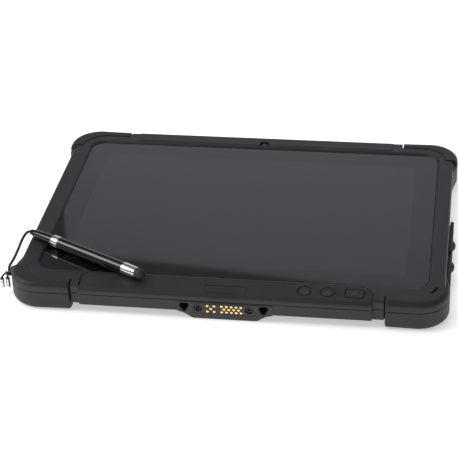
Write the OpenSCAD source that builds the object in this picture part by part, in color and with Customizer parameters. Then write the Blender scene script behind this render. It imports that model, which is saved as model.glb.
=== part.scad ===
// Rugged tablet data collector with a tethered stylus.
// Frame: +X to the right, +Y to the rear (camera) edge, +Z out of the screen.
// The origin is the middle of the battery cover's underside, on the resting surface.

/* [Case] */
// Width over the side walls, without the left wall's swell
case_w = 267; // [264:1:272]
// Distance that the left wall stands out further than the right one
left_swell = 1.7; // [1.2:0.1:2]
// Depth over the housing, without the raised front panel
case_d = 197; // [195:1:200]
// Plan radius of the housing corners
case_r = 17; // [14:1:20]
// Height of the rim around the screen
rim_z = 19; // [18.6:0.1:19.6]
// Height of the parting line between the housings
part_z = 12.8; // [12.4:0.1:13.2]
// Wall thickness of the housings
wall = 2.6; // [2.4:0.1:2.8]

/* [Screen] */
// Width of the touch glass
glass_w = 246; // [244:0.5:247]
// Depth of the touch glass
glass_d = 165.4; // [164:0.1:166]
// Thickness of the touch glass
glass_t = 1.6; // [1.2:0.1:1.8]
// Height of the glass surface
glass_z = 17.8; // [17.6:0.1:18]
// Width of the picture area
screen_w = 217; // [210:1:218]
// Depth of the picture area
screen_d = 135.6; // [130:0.1:136]

/* [Bumpers] */
// Distance that a bumper stands out from the side wall
bumper_out = 3; // [2:0.1:4]
// Height of the bumpers
bumper_z = 19.5; // [19.4:0.1:20]
// Width of the bumper band seen from above
bumper_band = 8; // [7:0.1:9]

/* [Keys] */
// Diameter of the two round keys
key_d = 8; // [7:0.1:8.4]
// Travel of every key
key_travel = 0.6; // [0.3:0.1:0.7]
// Length of the power key
power_w = 11.6; // [10:0.1:12]
// Depth of the power key
power_d = 7.4; // [6:0.1:7.6]

/* [Docking connector] */
// Distance between contacts in a row
pad_pitch = 3; // [2.8:0.1:3]
// Distance between contact rows
row_pitch = 2.05; // [2:0.01:2.1]
// Diameter of a contact pad
pad_d = 2; // [1.8:0.1:2.1]
// Diameter of the guide sockets
guide_d = 4.8; // [4.4:0.1:5]

/* [Stylus] */
// Diameter of the stylus barrel
pen_d = 7.4; // [7:0.1:7.5]
// Length of the stylus from tail to tip
pen_len = 95.6; // [90:0.1:100]

/* [Tether] */
// Diameter of the tether cord
cord_d = 1.8; // [1.6:0.1:2]

/* [Hidden] */

$fn = 48;
cut = 0.01;              // overshoot of a cutting shape
half_w = case_w / 2;
half_d = case_d / 2;
seal_h = 0.15;           // gap between the housings that the seal fills
low_top = part_z - seal_h;
seal_out = wall - 1.1;   // insets of the seal's two sides from the side wall
seal_in = wall - 0.4;
seal_deep = 0.8;         // depth of the seal groove

// Heights inside the case
edge_z = 5;              // lowest point of the vertical side wall
base_z = 0.8;            // underside of the lower housing
bevel = 9;               // inset of the underside behind the bevel
floor_z = base_z + 1.8;  // top of the case floor
ceiling_z = 14.6;        // underside of the rim and of the strip shelves
shelf_z = 15.6;          // top of the strip shelves
ledge_z = glass_z - glass_t - 0.4;   // ledge under the glass gasket

// Screen
glass_y = 1.3;           // the glass sits a little to the rear of the picture centre
glass_r = 10;
glass_gap = 0.25;
window_w = 232;          // opening of the rim under the glass
window_d = 152;
module_w = screen_w + 10;
module_d = screen_d + 11.4;
sensor_x = [26.9, 62.8]; // light sensor and status light behind the glass border
sensor_y = 79.1;
sensor_d = 1.4;

// Raised front panel and strips
panel_y = -100.1;        // face of the front panel
panel_left = -92;
panel_right = 90.1;
strip_back = -84.3;      // rear edge of the front strip
strip_gap = 0.25;
ridge_y = -97.2;         // soft front edge of the strip's top
ridge_z = 17.7;
strip_slope = atan((rim_z - ridge_z) / (strip_back - ridge_y));
label_x = -0.5;          // middle of the blank label inset
label_y = -93.6;
label_w = 26;
label_d = 6.4;
rear_front = 87.3;       // front edge of the rear strip
rear_face = 98.9;        // rear face of the rear strip
rear_left = -90.9;
rear_right = 90.8;
rear_top = 19.3;
rear_round = 2.2;        // rounding of the rear strip's upper edge
skirt = 2.5;             // thickness of the front strip's skirt
rear_skirt = 1.2;        // and of the rear strip's

// Bumpers
bump_x = half_w + bumper_out;
left_bump = left_swell + 0.8;        // the left bumpers stand out further by this much
bump_front = -100.7;
bump_rear = 99.8;
bump_r = 19;
bump_end_x = 98;         // inner end of the arms along the front and rear
bump_end_y = 70;         // inner end of the arms along the sides
bump_flare = 13;         // length over which a side arm grows to its full width
seat = 1.15;             // depth of the bumper seats in the housings

// Keys, measured on the front strip
key_y = -90.8;
key_x = [48.2, 62.5];
power_x = 79.2;
key_top = 18.5;
key_base = shelf_z + key_travel + 0.2;
key_clear = 0.35;
stem_r = 1.8;
stem_base = 14;

// Docking connector
dock_face = -100.5;
dock_z = 7.7;            // middle contact row
dock_back = -88;
pad_back = -95;          // rear ends of the contacts, guide sockets and screws
guide_back = -92;
dock_screw_back = -89;
head_sink = 1.8;         // depth of the screws' counterbores
head_h = 1.6;
screw_x = [-16.6, 15.3];
screw_z = 8.1;
guide_x = [-25.4, 24];
guide_z = 8.7;
pads_left = [for (r = [-1, 1], k = [0, 1]) [-10.8 + k * 4.2, dock_z + r * row_pitch]];
pads_mid = concat([[-8.7, dock_z]], [for (k = [0:3]) [-0.4 + k * pad_pitch, dock_z]]);
pads_right = [for (r = [-1, 1], k = [0:4]) [-1.9 + k * pad_pitch, dock_z + r * row_pitch]];
pads = concat(pads_left, pads_mid, pads_right);

// Camera
cam_y = 89.3;
cam_d = 3.6;

// Battery and its cover
bat_x0 = -74;
bat_x1 = 74;
bat_y0 = -46;
bat_y1 = 42;
cover_lip = 4;           // rim of the cover around the battery opening
bat_top = 9.4;

// Rear camera, flash and speakers
rear_cam_x = 0;
rear_cam_y = 78;
rear_cam_d = 9;
flash_x = 12;
flash_d = 5;
speaker_x = 100;
speaker_y = 22;
slot_pitch = 2.4;

// Case screws [x, y] and strap inserts
screws = concat([for (sx = [-1, 1], y = [-64, 64]) [sx * 121, y]],
    [for (x = [-60, 38]) [x, -86.8]], [for (x = [-60, 60]) [x, 87.2]]);
boss_r = 3.1;
screw_r = 1.25;
head_r = 2.4;
strap_x = 95;
strap_y = 60;
insert_r = 2.8;
insert_hole = 2;
insert_len = 5;

// Right-hand ports
port_z0 = 3.6;
port_z1 = 12;
port_depth = 5;
cover_t = 2.8;           // the covers stand out of the side wall by this much
hinge_z = 5.2;
hinge_x = half_w + 1.2;
hinge_r = 0.6;
ports = [[-29.6, 9.6], [-65, -31.4]];      // rear and front cover, [y0, y1]
tabs = [-18, -43];       // middle of each cover's finger tab

// Tether: loop lug on the left front bumper, then the cord to the stylus tail
lug = [-138.5, -79.4, 15.6];
lug_r = 1.5;
lug_bar = 0.6;
loop_r = 1.6;
loop_tilt = -32;
loop_d = 0.9;
knot = [-142.5, -78.9, 11.2];
knot_d = 4.2;
cord_path = [
    [-142.4, -78, 12.9], [-143.1, -74.6, 13.4], [-143.2, -72, 13.5], [-143.1, -69, 13.2],
    [-143, -66, 13.1], [-142.9, -63, 13.1], [-142.8, -60, 13.3], [-142.7, -57, 13.7],
    [-142.5, -54, 14.3], [-142.2, -51.4, 15.2], [-141.7, -49.2, 16.6], [-141, -47.4, 18],
    [-139.9, -46.2, 19.6], [-138.6, -45.4, 21], [-137.3, -45, 21.7], [-136.4, -45.15, 21.9]];
tail_a = [[-142.3, -79.8, 12], [-142.4, -81, 11.8], [-142.5, -82, 11.3], [-142.5, -82.6, 10.4]];
tail_b = [[-142.9, -79.8, 12.2], [-143.9, -81.2, 12.6], [-145.1, -83.4, 12.3], [-145.6, -84.8, 11.3]];
cap_len = 7;
cap_d = 3;

// Stylus: tail position, tilt towards the tip and places along its axis
pen_tail = [-135.8, -45.4, 22];
pen_turn = -28.3;
pen_tilt = 0.67;
ring_r = pen_d / 2 + 0.2;
tip_r = 3.3;
cap_end = 20.2;
ring_end = 25.8;
barrel_end = 79.5;
tip_ring_end = 90.1;

// ---------- Helpers ----------

function arc(cx, cy, r, a0, a1, n = 8) =
    [for (i = [0:n]) let (a = a0 + (a1 - a0) * i / n) [cx + r * cos(a), cy + r * sin(a)]];

// Points of a rectangle with round corners
function rr(x0, y0, x1, y1, r) = concat(
    arc(x1 - r, y1 - r, r, 0, 90), arc(x0 + r, y1 - r, r, 90, 180),
    arc(x0 + r, y0 + r, r, 180, 270), arc(x1 - r, y0 + r, r, 270, 360));

// Flat plate with round corners from z0 to z1
module plate(x0, y0, x1, y1, r, z0, z1) {
    translate([0, 0, z0]) linear_extrude(z1 - z0) polygon(rr(x0, y0, x1, y1, r));
}

module box(x0, y0, z0, x1, y1, z1) {
    translate([x0, y0, z0]) cube([x1 - x0, y1 - y0, z1 - z0]);
}

// Plate whose outline shrinks: each layer is [z, inset]
module layered(x0, y0, x1, y1, r, layers) {
    hull() for (l = layers)
        plate(x0 + l[1], y0 + l[1], x1 - l[1], y1 - l[1], r - l[1], l[0] - cut, l[0]);
}

// Outline of the housings, inset by i
module case_form(i, z0, z1) {
    intersection() {
        layered(-half_w - left_swell + i, -half_d + i, half_w - i, half_d - i, case_r - i,
            [[base_z + i + cut, bevel], [edge_z + i, 0.3], [edge_z + 1.4 + i, 0], [rim_z - 1.8 - i, 0],
             [rim_z - 0.6 - i, 0.5], [rim_z - i, 1.8]]);
        box(-half_w - left_swell, -half_d, z0, half_w, half_d, z1);
    }
}

// Places a child at each of the points
module at_each(points) {
    for (p = points) translate([p[0], p[1], 0]) children();
}

function strap_points() = [for (sx = [-1, 1], sy = [-1, 1]) [sx * strap_x, sy * strap_y]];

// ---------- Housings ----------

// Mirrors what is drawn for the rear right corner to the corner at sx, sy
module at_corner(sx, sy) {
    mirror([sx < 0 ? 1 : 0, 0, 0]) mirror([0, sy < 0 ? 1 : 0, 0]) children();
}

// Plan of the band that a corner bumper covers, for the corner at sx, sy
module bumper_plan(sx, sy) {
    face = sy > 0 ? bump_rear : -bump_front;
    difference() {
        at_corner(sx, sy) polygon([
            [bump_end_x, 60], [bump_end_x, face + 1], [bump_x + 5, face + 1], [bump_x + 5, bump_end_y],
            [half_w - 9, bump_end_y], [half_w - 9, 60]]);
        at_corner(sx, sy) polygon(rr(-20, -20, half_w - bumper_band + 1.4, half_d - bumper_band + 1, 13));
    }
}

// Housing outline with its corners set back to seat the bumpers
module seated_form(z0, z1) {
    difference() {
        case_form(0, z0, z1);
        for (sx = [-1, 1], sy = [-1, 1])
            translate([0, 0, -1]) linear_extrude(30) bumper_plan(sx, sy);
    }
    case_form(seat, z0, z1);
}

// Space inside the lower housing
module lower_cavity() {
    layered(-half_w + wall, -half_d + wall, half_w - wall, half_d - wall, case_r - wall,
        [[floor_z, bevel - 1], [edge_z + 1, 0], [rim_z, 0]]);
}

module screw_holes() {
    at_each(screws) translate([0, 0, base_z - 1]) cylinder(r = screw_r + 0.1, h = 20);
}

module insert_holes() {
    at_each(strap_points()) translate([0, 0, base_z - 1]) cylinder(r = insert_r, h = insert_len + 2.2);
}

// Top view outline of the front strip, grown by g
module strip_plan(g) {
    polygon(concat(
        [[panel_right + g, panel_y - 5], [panel_right + g, strip_back - 6.4],
         [panel_right - 5.6 + g * 0.5, strip_back + g]],
        arc(panel_left + 4.5, strip_back - 4.5, 4.5 + g, 90, 180, 6),
        [[panel_left - g, panel_y - 5]]));
}

module rear_plan(g) {
    polygon(concat(
        [[rear_left - g, rear_face + 5]], arc(rear_left + 2.5, rear_front + 2.5, 2.5 + g, 180, 270, 4),
        arc(rear_right - 2.5, rear_front + 2.5, 2.5 + g, 270, 360, 4), [[rear_right + g, rear_face + 5]]));
}

module upper_housing() color("dimgray") difference() {
    seated_form(part_z, rim_z);
    // hollow under the rim
    plate(-half_w + wall, -half_d + wall, half_w - wall, half_d - wall, case_r - wall,
        part_z - cut, ceiling_z);
    // pocket and window of the touch glass
    plate(-glass_w / 2 - glass_gap, glass_y - glass_d / 2 - glass_gap, glass_w / 2 + glass_gap,
        glass_y + glass_d / 2 + glass_gap, glass_r + glass_gap, ledge_z, rim_z + 1);
    plate(-window_w / 2, glass_y - window_d / 2, window_w / 2, glass_y + window_d / 2, 3,
        part_z, rim_z);
    // seats of the front and rear strips
    translate([0, 0, shelf_z]) linear_extrude(5) strip_plan(strip_gap);
    box(panel_left - strip_gap, -half_d - 1, part_z - 1, panel_right + strip_gap,
        panel_y + skirt + strip_gap, rim_z);
    translate([0, 0, shelf_z]) linear_extrude(5) rear_plan(strip_gap);
    box(rear_left - strip_gap, rear_face - rear_skirt - strip_gap, part_z - 1, rear_right + strip_gap,
        half_d + 1, rim_z);
    // key stems, camera and sensors
    for (x = concat(key_x, [power_x]))
        translate([x, key_y, ceiling_z - 1]) cylinder(r = stem_r + 0.3, h = 3);
    translate([0, cam_y, ceiling_z - 1]) cylinder(d = cam_d + 0.4, h = 6);
    for (x = sensor_x) translate([x, sensor_y, ceiling_z - 1]) cylinder(d = sensor_d + 0.4, h = 4);
}

// Outline of the docking connector's front, grown by g
module dock_face_plan(g) {
    polygon([[-30 - g, part_z - 0.9 + g], [-30 - g, 4.8 - g], [-26.5 - g, 4.2 - g], [-24 - g, 2.8 - g],
        [-20.3 - g * 0.6, 0.3 - g], [19.9 + g * 0.6, 0.3 - g], [23.6 + g, 2.8 - g],
        [26.2 + g, 4.2 - g], [30 + g, 4.8 - g], [30 + g, part_z - 0.9 + g]]);
}

module lower_housing() color("dimgray") difference() {
    union() {
        difference() {
            union() {
                seated_form(base_z, low_top);
                // raised front panel
                box(panel_left, panel_y, edge_z - 0.2, panel_right, -half_d + 4, low_top);
                // raised rear panel
                box(rear_left, half_d - 4, edge_z, rear_right, rear_face, low_top);
            }
            lower_cavity();
        }
        // bulkhead behind the ports
        box(half_w - port_depth - 2, ports[1][0] - 2, floor_z - cut, half_w - port_depth,
            ports[0][1] + 2, low_top);
        box(half_w - port_depth - 2, ports[1][0] - 2, floor_z - cut, half_w - 1, ports[1][0], low_top);
        box(half_w - port_depth - 2, ports[0][1], floor_z - cut, half_w - 1, ports[0][1] + 2, low_top);
    }
    // battery opening with a step for its cover
    plate(bat_x0 - 0.5, bat_y0 - 0.5, bat_x1 + 0.5, bat_y1 + 0.5, 3, base_z - 1, floor_z + 1);
    plate(bat_x0 - cover_lip - 0.2, bat_y0 - cover_lip - 0.2, bat_x1 + cover_lip + 0.2,
        bat_y1 + cover_lip + 0.2, 6.2, base_z - 1, base_z + 0.7);
    // docking connector
    translate([0, dock_back, 0]) rotate([90, 0, 0]) linear_extrude(20) dock_face_plan(0.1);
    // port recesses, one per cover, and the two sockets' windows in the bulkhead
    for (p = ports) {
        box(half_w - port_depth, p[0] + 0.3, port_z0 + 0.3, half_w + 1, p[1] - 0.3, port_z1 - 0.3);
        hinge_rod(p, 2.2, -0.3);
    }
    network_body(0.15);
    usb_body(0.15);
    // screws and inserts
    screw_holes();
    at_each(screws) translate([0, 0, base_z - 1]) cylinder(r = head_r + 0.3, h = 2.5);
    insert_holes();
    seal_ring(part_z + 1);
    // rear camera and flash windows, speaker slots
    translate([rear_cam_x, rear_cam_y, base_z - 1]) cylinder(d = rear_cam_d + 0.2, h = 4);
    translate([flash_x, rear_cam_y, base_z - 1]) cylinder(d = flash_d + 0.2, h = 4);
    for (sx = [-1, 1], k = [-2:2])
        translate([sx * speaker_x, speaker_y + k * slot_pitch, 0]) box(-7, -0.6, 0, 7, 0.6, 3);
}

// Seal between the housings, from the foot of its groove to z1, open at the docking connector
module seal_ring(z1) difference() {
    plate(-half_w + seal_out, -half_d + seal_out, half_w - seal_out, half_d - seal_out, case_r - seal_out,
        low_top - seal_deep, z1);
    plate(-half_w + seal_in, -half_d + seal_in, half_w - seal_in, half_d - seal_in, case_r - seal_in,
        low_top - 1, z1 + 1);
    box(-31, -half_d, 0, 31, dock_back, low_top);
}

module perimeter_seal() color("black") seal_ring(part_z);

// Posts for the case screws and the strap inserts, between the floor and the rim
module case_posts() color("dimgray") difference() {
    intersection() {
        union() {
            at_each(screws) translate([0, 0, floor_z]) cylinder(r = boss_r, h = ceiling_z - floor_z);
            at_each(strap_points()) translate([0, 0, floor_z]) cylinder(r = insert_r + 1.6, h = 5.4);
        }
        lower_cavity();
    }
    screw_holes();
    insert_holes();
}

module touch_glass() color([0.12, 0.12, 0.14])
    plate(-glass_w / 2, glass_y - glass_d / 2, glass_w / 2, glass_y + glass_d / 2, glass_r,
        glass_z - glass_t, glass_z);

module glass_gasket() color("black") difference() {
    plate(-glass_w / 2, glass_y - glass_d / 2, glass_w / 2, glass_y + glass_d / 2, glass_r,
        ledge_z, glass_z - glass_t);
    plate(-window_w / 2, glass_y - window_d / 2, window_w / 2, glass_y + window_d / 2, 3,
        ledge_z - 1, glass_z);
}

module display_module() color([0.2, 0.2, 0.24])
    plate(-module_w / 2, glass_y - module_d / 2, module_w / 2, glass_y + module_d / 2, 1,
        13.2, glass_z - glass_t);

// Ambient light and status windows in the border of the glass
module sensor_windows() color("silver")
    for (x = sensor_x) translate([x, sensor_y, ledge_z - 0.8]) cylinder(d = sensor_d, h = 0.8);

module mid_frame() color("silver") difference() {
    plate(-114, -71, 114, 75, 4, 12.2, 13.2);
    for (x = [-80:40:80]) plate(x - 12, 50, x + 12, 66, 3, 12, 14);
}

// ---------- Front and rear strips ----------

module front_strip() color([0.24, 0.24, 0.24]) difference() {
    intersection() {
        translate([-100, 0, 0]) rotate([90, 0, 90]) linear_extrude(200) polygon(concat(
            [[strip_back, shelf_z], [strip_back, rim_z]],
            [[ridge_y, ridge_z]], arc(panel_y + 3, ridge_z - 3.1, 3, 82, 180, 6),
            [[panel_y, part_z + 0.1], [panel_y + skirt, part_z + 0.1], [panel_y + skirt, shelf_z]]));
        translate([0, 0, 10]) linear_extrude(12) strip_plan(0);
    }
    for (x = key_x) translate([x, key_y, shelf_z - 1]) cylinder(r = key_d / 2 + key_clear, h = 6);
    plate(power_x - power_w / 2 - key_clear, key_y - power_d / 2 - key_clear,
        power_x + power_w / 2 + key_clear, key_y + power_d / 2 + key_clear, 2.2, shelf_z - 1, 22);
    // shallow bed of the label plate
    label_box(0.2, 3);
}

// Box in the strip's sloping top, grown by g, with its floor 0.3 below the surface
module label_box(g, h) {
    z = rim_z - (strip_back - label_y) * tan(strip_slope);
    translate([label_x, label_y, z]) rotate([strip_slope, 0, 0])
        box(-label_w / 2 - g, -label_d / 2 - g, -0.3, label_w / 2 + g, label_d / 2 + g, h - 0.3);
}

module label_plate() color([0.2, 0.2, 0.2]) label_box(0, 0.2);

module rear_strip() color([0.26, 0.26, 0.26]) difference() {
    intersection() {
        translate([-100, 0, 0]) rotate([90, 0, 90]) linear_extrude(200) polygon(concat(
            [[rear_front, shelf_z], [rear_front, rear_top - 0.5], [rear_front + 0.5, rear_top]],
            arc(rear_face - rear_round, rear_top - rear_round, rear_round, 90, 0, 5),
            [[rear_face, part_z + 0.1], [rear_face - rear_skirt, part_z + 0.1],
             [rear_face - rear_skirt, shelf_z]]));
        translate([0, 0, 10]) linear_extrude(12) rear_plan(0);
    }
    // camera notch and microphone holes
    translate([0, cam_y, shelf_z - 1]) cylinder(r = 3.2, h = 8);
    box(-3.2, rear_front - 2, shelf_z - 1, 3.2, cam_y, 22);
    for (x = [-19.5, 19]) translate([x, 90.4, shelf_z - 1]) cylinder(d = 1, h = 8);
}

// ---------- Bumpers ----------

// Upper or lower half of the bumper at corner sx, sy
module bumper(sx, sy, upper) {
    z0 = upper ? part_z : 0;
    z1 = upper ? bumper_z : low_top;
    face = sy > 0 ? bump_rear : -bump_front;
    side = sx > 0 ? half_w : half_w + left_swell;
    out = sx > 0 ? bump_x : bump_x + left_bump;
    color([0.22, 0.22, 0.22]) difference() {
        intersection() {
            at_corner(sx, sy)
                layered(0, 0, out, face, bump_r,
                    [[cut, 4.2], [0.9, 1.9], [2.6, 0.5], [4.4, 0], [bumper_z - 3.6, 0],
                     [bumper_z - 1.8, 0.5], [bumper_z - 0.5, 1.8], [bumper_z, 3.6]]);
            translate([0, 0, z0]) linear_extrude(z1 - z0) bumper_plan(sx, sy);
            // the side arm grows out of the wall
            translate([0, 0, -1]) linear_extrude(30) at_corner(sx, sy) polygon([
                [0, 0], [side + 0.4, bump_end_y - 1], [out + 0.2, bump_end_y + bump_flare],
                [out + 0.2, face + 1], [0, face + 1]]);
        }
        case_form(seat, z0 - 1, rim_z);
        if (sx < 0 && sy < 0 && upper) tether_lug_bar();
    }
}

module bumper_front_left_upper() bumper(-1, -1, true);
module bumper_front_left_lower() bumper(-1, -1, false);
module bumper_front_right_upper() bumper(1, -1, true);
module bumper_front_right_lower() bumper(1, -1, false);
module bumper_rear_left_upper() bumper(-1, 1, true);
module bumper_rear_left_lower() bumper(-1, 1, false);
module bumper_rear_right_upper() bumper(1, 1, true);
module bumper_rear_right_lower() bumper(1, 1, false);

// ---------- Keys ----------

module round_key(x) color([0.2, 0.2, 0.2]) translate([x, key_y, 0]) rotate_extrude()
    polygon([[0, stem_base], [stem_r, stem_base], [stem_r, key_base], [key_d / 2, key_base],
        [key_d / 2, key_top - 0.5], [key_d / 2 - 0.5, key_top - 0.1], [0, key_top]]);

module key_left() round_key(key_x[0]);
module key_right() round_key(key_x[1]);

module power_key() color([0.2, 0.2, 0.2]) {
    plate(power_x - power_w / 2, key_y - power_d / 2, power_x + power_w / 2, key_y + power_d / 2, 1.8,
        key_base, key_top);
    translate([power_x, key_y, stem_base]) cylinder(r = stem_r, h = key_base - stem_base + cut);
}

module key_board() color("darkgreen") plate(42, -94.6, 88, -86.6, 1, 10.8, 12);

module dome_switches() color("silver") for (x = concat(key_x, [power_x]))
    translate([x, key_y, 12]) rotate_extrude()
        polygon([[0, 0], [2.6, 0], [2.6, 0.3], [1.6, 0.9], [0, 1.1]]);

// ---------- Docking connector ----------

module dock_block() color([0.17, 0.17, 0.17]) difference() {
    translate([0, dock_back, 0]) rotate([90, 0, 0]) linear_extrude(dock_back - dock_face) dock_face_plan(0);
    for (p = pads) translate([p[0], pad_back, p[1]]) rotate([90, 0, 0]) cylinder(d = pad_d, h = 10);
    for (x = screw_x) translate([x, 0, screw_z]) rotate([90, 0, 0]) {
        translate([0, 0, -dock_face - head_sink]) cylinder(r = head_r + 0.1, h = 3);
        translate([0, 0, -dock_back]) cylinder(r = screw_r, h = 14);
    }
    for (x = guide_x) translate([x, guide_back, guide_z]) rotate([90, 0, 0]) cylinder(d = guide_d, h = 12);
}

module dock_contacts() color("gold") for (p = pads)
    translate([p[0], pad_back, p[1]]) rotate([90, 0, 0])
        cylinder(d = pad_d, h = pad_back - dock_face + 0.1);

module dock_screws() color("silver") for (x = screw_x)
    translate([x, 0, screw_z]) rotate([90, 0, 0]) difference() {
        union() {
            translate([0, 0, -dock_screw_back])
                cylinder(r = screw_r, h = dock_screw_back - dock_face - head_sink);
            translate([0, 0, -dock_face - head_sink]) cylinder(r = head_r, h = head_h);
        }
        translate([0, 0, -dock_face - head_sink + 0.5]) cylinder(r = 1.2, h = 3, $fn = 6);
    }

// ---------- Electronics ----------

module camera_module() color("black") translate([0, cam_y, 0]) {
    translate([-4, -4, 10.2]) cube([8, 8, 3.8]);
    translate([0, 0, 14 - cut]) cylinder(d = 3.2, h = 3.4);
}

module camera_window() color([0.1, 0.1, 0.12])
    translate([0, cam_y, 17.5]) cylinder(d = cam_d, h = 1);

module main_board() color("darkgreen") difference() {
    plate(-88, 50, 88, 84, 2, 5.6, 6.8);
    translate([rear_cam_x, rear_cam_y, 0]) cylinder(d = rear_cam_d + 2, h = 20);
    translate([flash_x, rear_cam_y, 0]) cylinder(d = flash_d + 2, h = 20);
}

module heat_spreader() color("silver") plate(-70, 53, -10, 82, 2, 6.8, 9.2);

module gnss_module() color("silver") plate(40, 56, 64, 78, 1, 6.8, 9.4);

module gnss_antenna() color("tan") plate(92, 74, 114, 92, 1, 8, 12);

// Flexible antennas on the inside of the side walls
module radio_antennas() color("goldenrod") for (sx = [-1, 1])
    translate([sx * (half_w - wall - 0.5) - 0.5, sx > 0 ? 20 : -44, 7.6]) cube([1, 40, 4]);

module speakers() color("black") for (sx = [-1, 1])
    plate(sx * speaker_x - 9, speaker_y - 8, sx * speaker_x + 9, speaker_y + 8, 2, floor_z + 0.1, 8);

module rear_camera() color("black") {
    translate([rear_cam_x, rear_cam_y, base_z + 1]) cylinder(d = rear_cam_d - 1, h = 5);
    translate([flash_x, rear_cam_y, base_z + 1]) cylinder(d = flash_d - 1, h = 3);
}

module rear_camera_window() color([0.1, 0.1, 0.12])
    translate([rear_cam_x, rear_cam_y, base_z]) cylinder(d = rear_cam_d, h = 1);

module flash_lens() color("white")
    translate([flash_x, rear_cam_y, base_z]) cylinder(d = flash_d, h = 1);

// ---------- Battery ----------

module battery_pack() color("darkslategray")
    plate(bat_x0, bat_y0, bat_x1, bat_y1, 2.5, floor_z, bat_top);

module battery_terminals() color("gold") for (k = [0:4])
    box(50 + k * 3, bat_y1, 6.8, 51.6 + k * 3, bat_y1 + 9, 7.4);

module battery_cover() color([0.25, 0.25, 0.25]) {
    plate(bat_x0 - cover_lip, bat_y0 - cover_lip, bat_x1 + cover_lip, bat_y1 + cover_lip, 6,
        0, base_z + 0.7);
    plate(bat_x0, bat_y0, bat_x1, bat_y1, 2.5, base_z, floor_z);
}

// ---------- Fasteners ----------

module case_screws() color("silver") at_each(screws) difference() {
    union() {
        translate([0, 0, base_z + 0.1]) cylinder(r = head_r, h = 1.3);
        translate([0, 0, base_z + 0.1]) cylinder(r = screw_r - 0.15, h = 13);
    }
    translate([0, 0, base_z]) cylinder(r = 1.1, h = 1, $fn = 6);
}

module strap_inserts() color("goldenrod") at_each(strap_points()) difference() {
    translate([0, 0, base_z]) cylinder(r = insert_r, h = insert_len);
    translate([0, 0, base_z - 1]) cylinder(r = insert_hole, h = insert_len + 2);
}

// ---------- Side ports ----------

module network_body(g) {
    box(half_w - 21 - g, -24 - g, 3.9 - g, half_w - 4.6, -6 + g, 12.2);
}

module network_socket() color("silver") difference() {
    box(half_w - 21, -24, 3.9, half_w - 4.6, -6, 12.1);
    box(half_w - 16, -21, 4.8, half_w, -9, 11.2);
}

module usb_body(g) {
    box(half_w - 18 - g, -55 - g, 3.9 - g, half_w - 4.6, -41 + g, 10.3 + g);
}

module usb_socket() color("silver") {
    difference() {
        box(half_w - 18, -55, 3.9, half_w - 4.6, -41, 10.3);
        box(half_w - 16, -54.4, 4.5, half_w, -41.6, 9.7);
    }
    box(half_w - 16 - cut, -53.5, 5.2, half_w - 6, -42.5, 7.2);
}

module side_board() color("darkgreen") difference() {
    plate(100, -57, half_w - 10.6, 4, 1, 3.1, 3.9);
    translate([121, -64, 0]) cylinder(r = boss_r + 0.6, h = 20);
}

// Rod of radius r on the hinge line of port p, longer than the port by g at each end
module hinge_rod(p, r, g) {
    translate([hinge_x, p[0] - g, hinge_z]) rotate([-90, 0, 0]) cylinder(r = r, h = p[1] - p[0] + 2 * g);
}

module port_cover(p, tab_y) color([0.2, 0.2, 0.2]) difference() {
    union() {
        box(half_w + 0.4, p[0] + 0.6, hinge_z, half_w + cover_t, p[1] - 0.6, port_z1 + 0.2);
        hinge_rod(p, 1.6, -0.6);
        // plug that closes the recess
        box(half_w - 2, p[0] + 2.4, port_z0 + 3.4, half_w + 0.5, p[1] - 2.4, port_z1 - 2);
        // finger tab
        translate([half_w + cover_t - 1, tab_y, 9.6]) rotate([90, 0, 0]) translate([0, 0, -6])
            cylinder(r = 2.5, h = 12);
    }
    hinge_rod(p, hinge_r + 0.05, 1);
    // keep the wall side flat
    box(half_w - 0.4, tab_y - 7, 11.2, half_w + 0.4, tab_y + 7, 14);
}

module port_cover_rear() port_cover(ports[0], tabs[0]);
module port_cover_front() port_cover(ports[1], tabs[1]);

// Pins with an end block in the housing wall
module port_hinge_pins() color("silver") for (p = ports) {
    hinge_rod(p, hinge_r, 0.6);
    for (y = [p[0] - 0.6, p[1] + 0.1])
        box(half_w, y, hinge_z - 0.9, hinge_x + 0.9, y + 0.5, hinge_z + 0.9);
}

// ---------- Tether ----------

// Half ring that stands out of the bumper
module tether_lug_bar() {
    translate(lug) intersection() {
        rotate([90, 0, 0]) rotate_extrude() translate([lug_r, 0]) circle(r = lug_bar);
        translate([-10, -5, -5]) cube([10, 10, 10]);
    }
    for (s = [-1, 1]) translate([lug[0] - cut, lug[1], lug[2] + s * lug_r]) rotate([0, 90, 0])
        cylinder(r = lug_bar, h = 1.4);
}

module tether_lug() color("black") tether_lug_bar();

// Sweep of a ring with n sides along points p
function unit(v) = v / norm(v);
function tangent(p, i) = unit(p[min(i + 1, len(p) - 1)] - p[max(i - 1, 0)]);
function side_of(t) = unit(cross(t, abs(t[2]) > 0.9 ? [1, 0, 0] : [0, 0, 1]));
function ring(p, i, r, n) = let (t = tangent(p, i), u = side_of(t), v = cross(t, u))
    [for (k = [0:n - 1]) p[i] + r * (cos(360 * k / n) * u + sin(360 * k / n) * v)];

module tube(p, d, n = 8) {
    m = len(p);
    points = [for (i = [0:m - 1]) each ring(p, i, d / 2, n)];
    sides = [for (i = [0:m - 2], k = [0:n - 1])
        [i * n + k, (i + 1) * n + k, (i + 1) * n + (k + 1) % n, i * n + (k + 1) % n]];
    ends = [[for (k = [0:n - 1]) k], [for (k = [n - 1:-1:0]) (m - 1) * n + k]];
    polyhedron(points, concat(sides, ends));
}

// Ring of round cord of thickness d, with its middle line at radius r
module cord_ring(r, d, steps = 24, n = 8) {
    points = [for (i = [0:steps - 1], k = [0:n - 1])
        let (a = 360 * i / steps, b = 360 * k / n, q = r + d / 2 * cos(b))
            [q * cos(a), q * sin(a), d / 2 * sin(b)]];
    faces = [for (i = [0:steps - 1], k = [0:n - 1]) let (j = (i + 1) % steps, l = (k + 1) % n)
        [i * n + k, i * n + l, j * n + l, j * n + k]];
    polyhedron(points, faces);
}

module tether_cord() color("black") tube(cord_path, cord_d);

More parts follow.
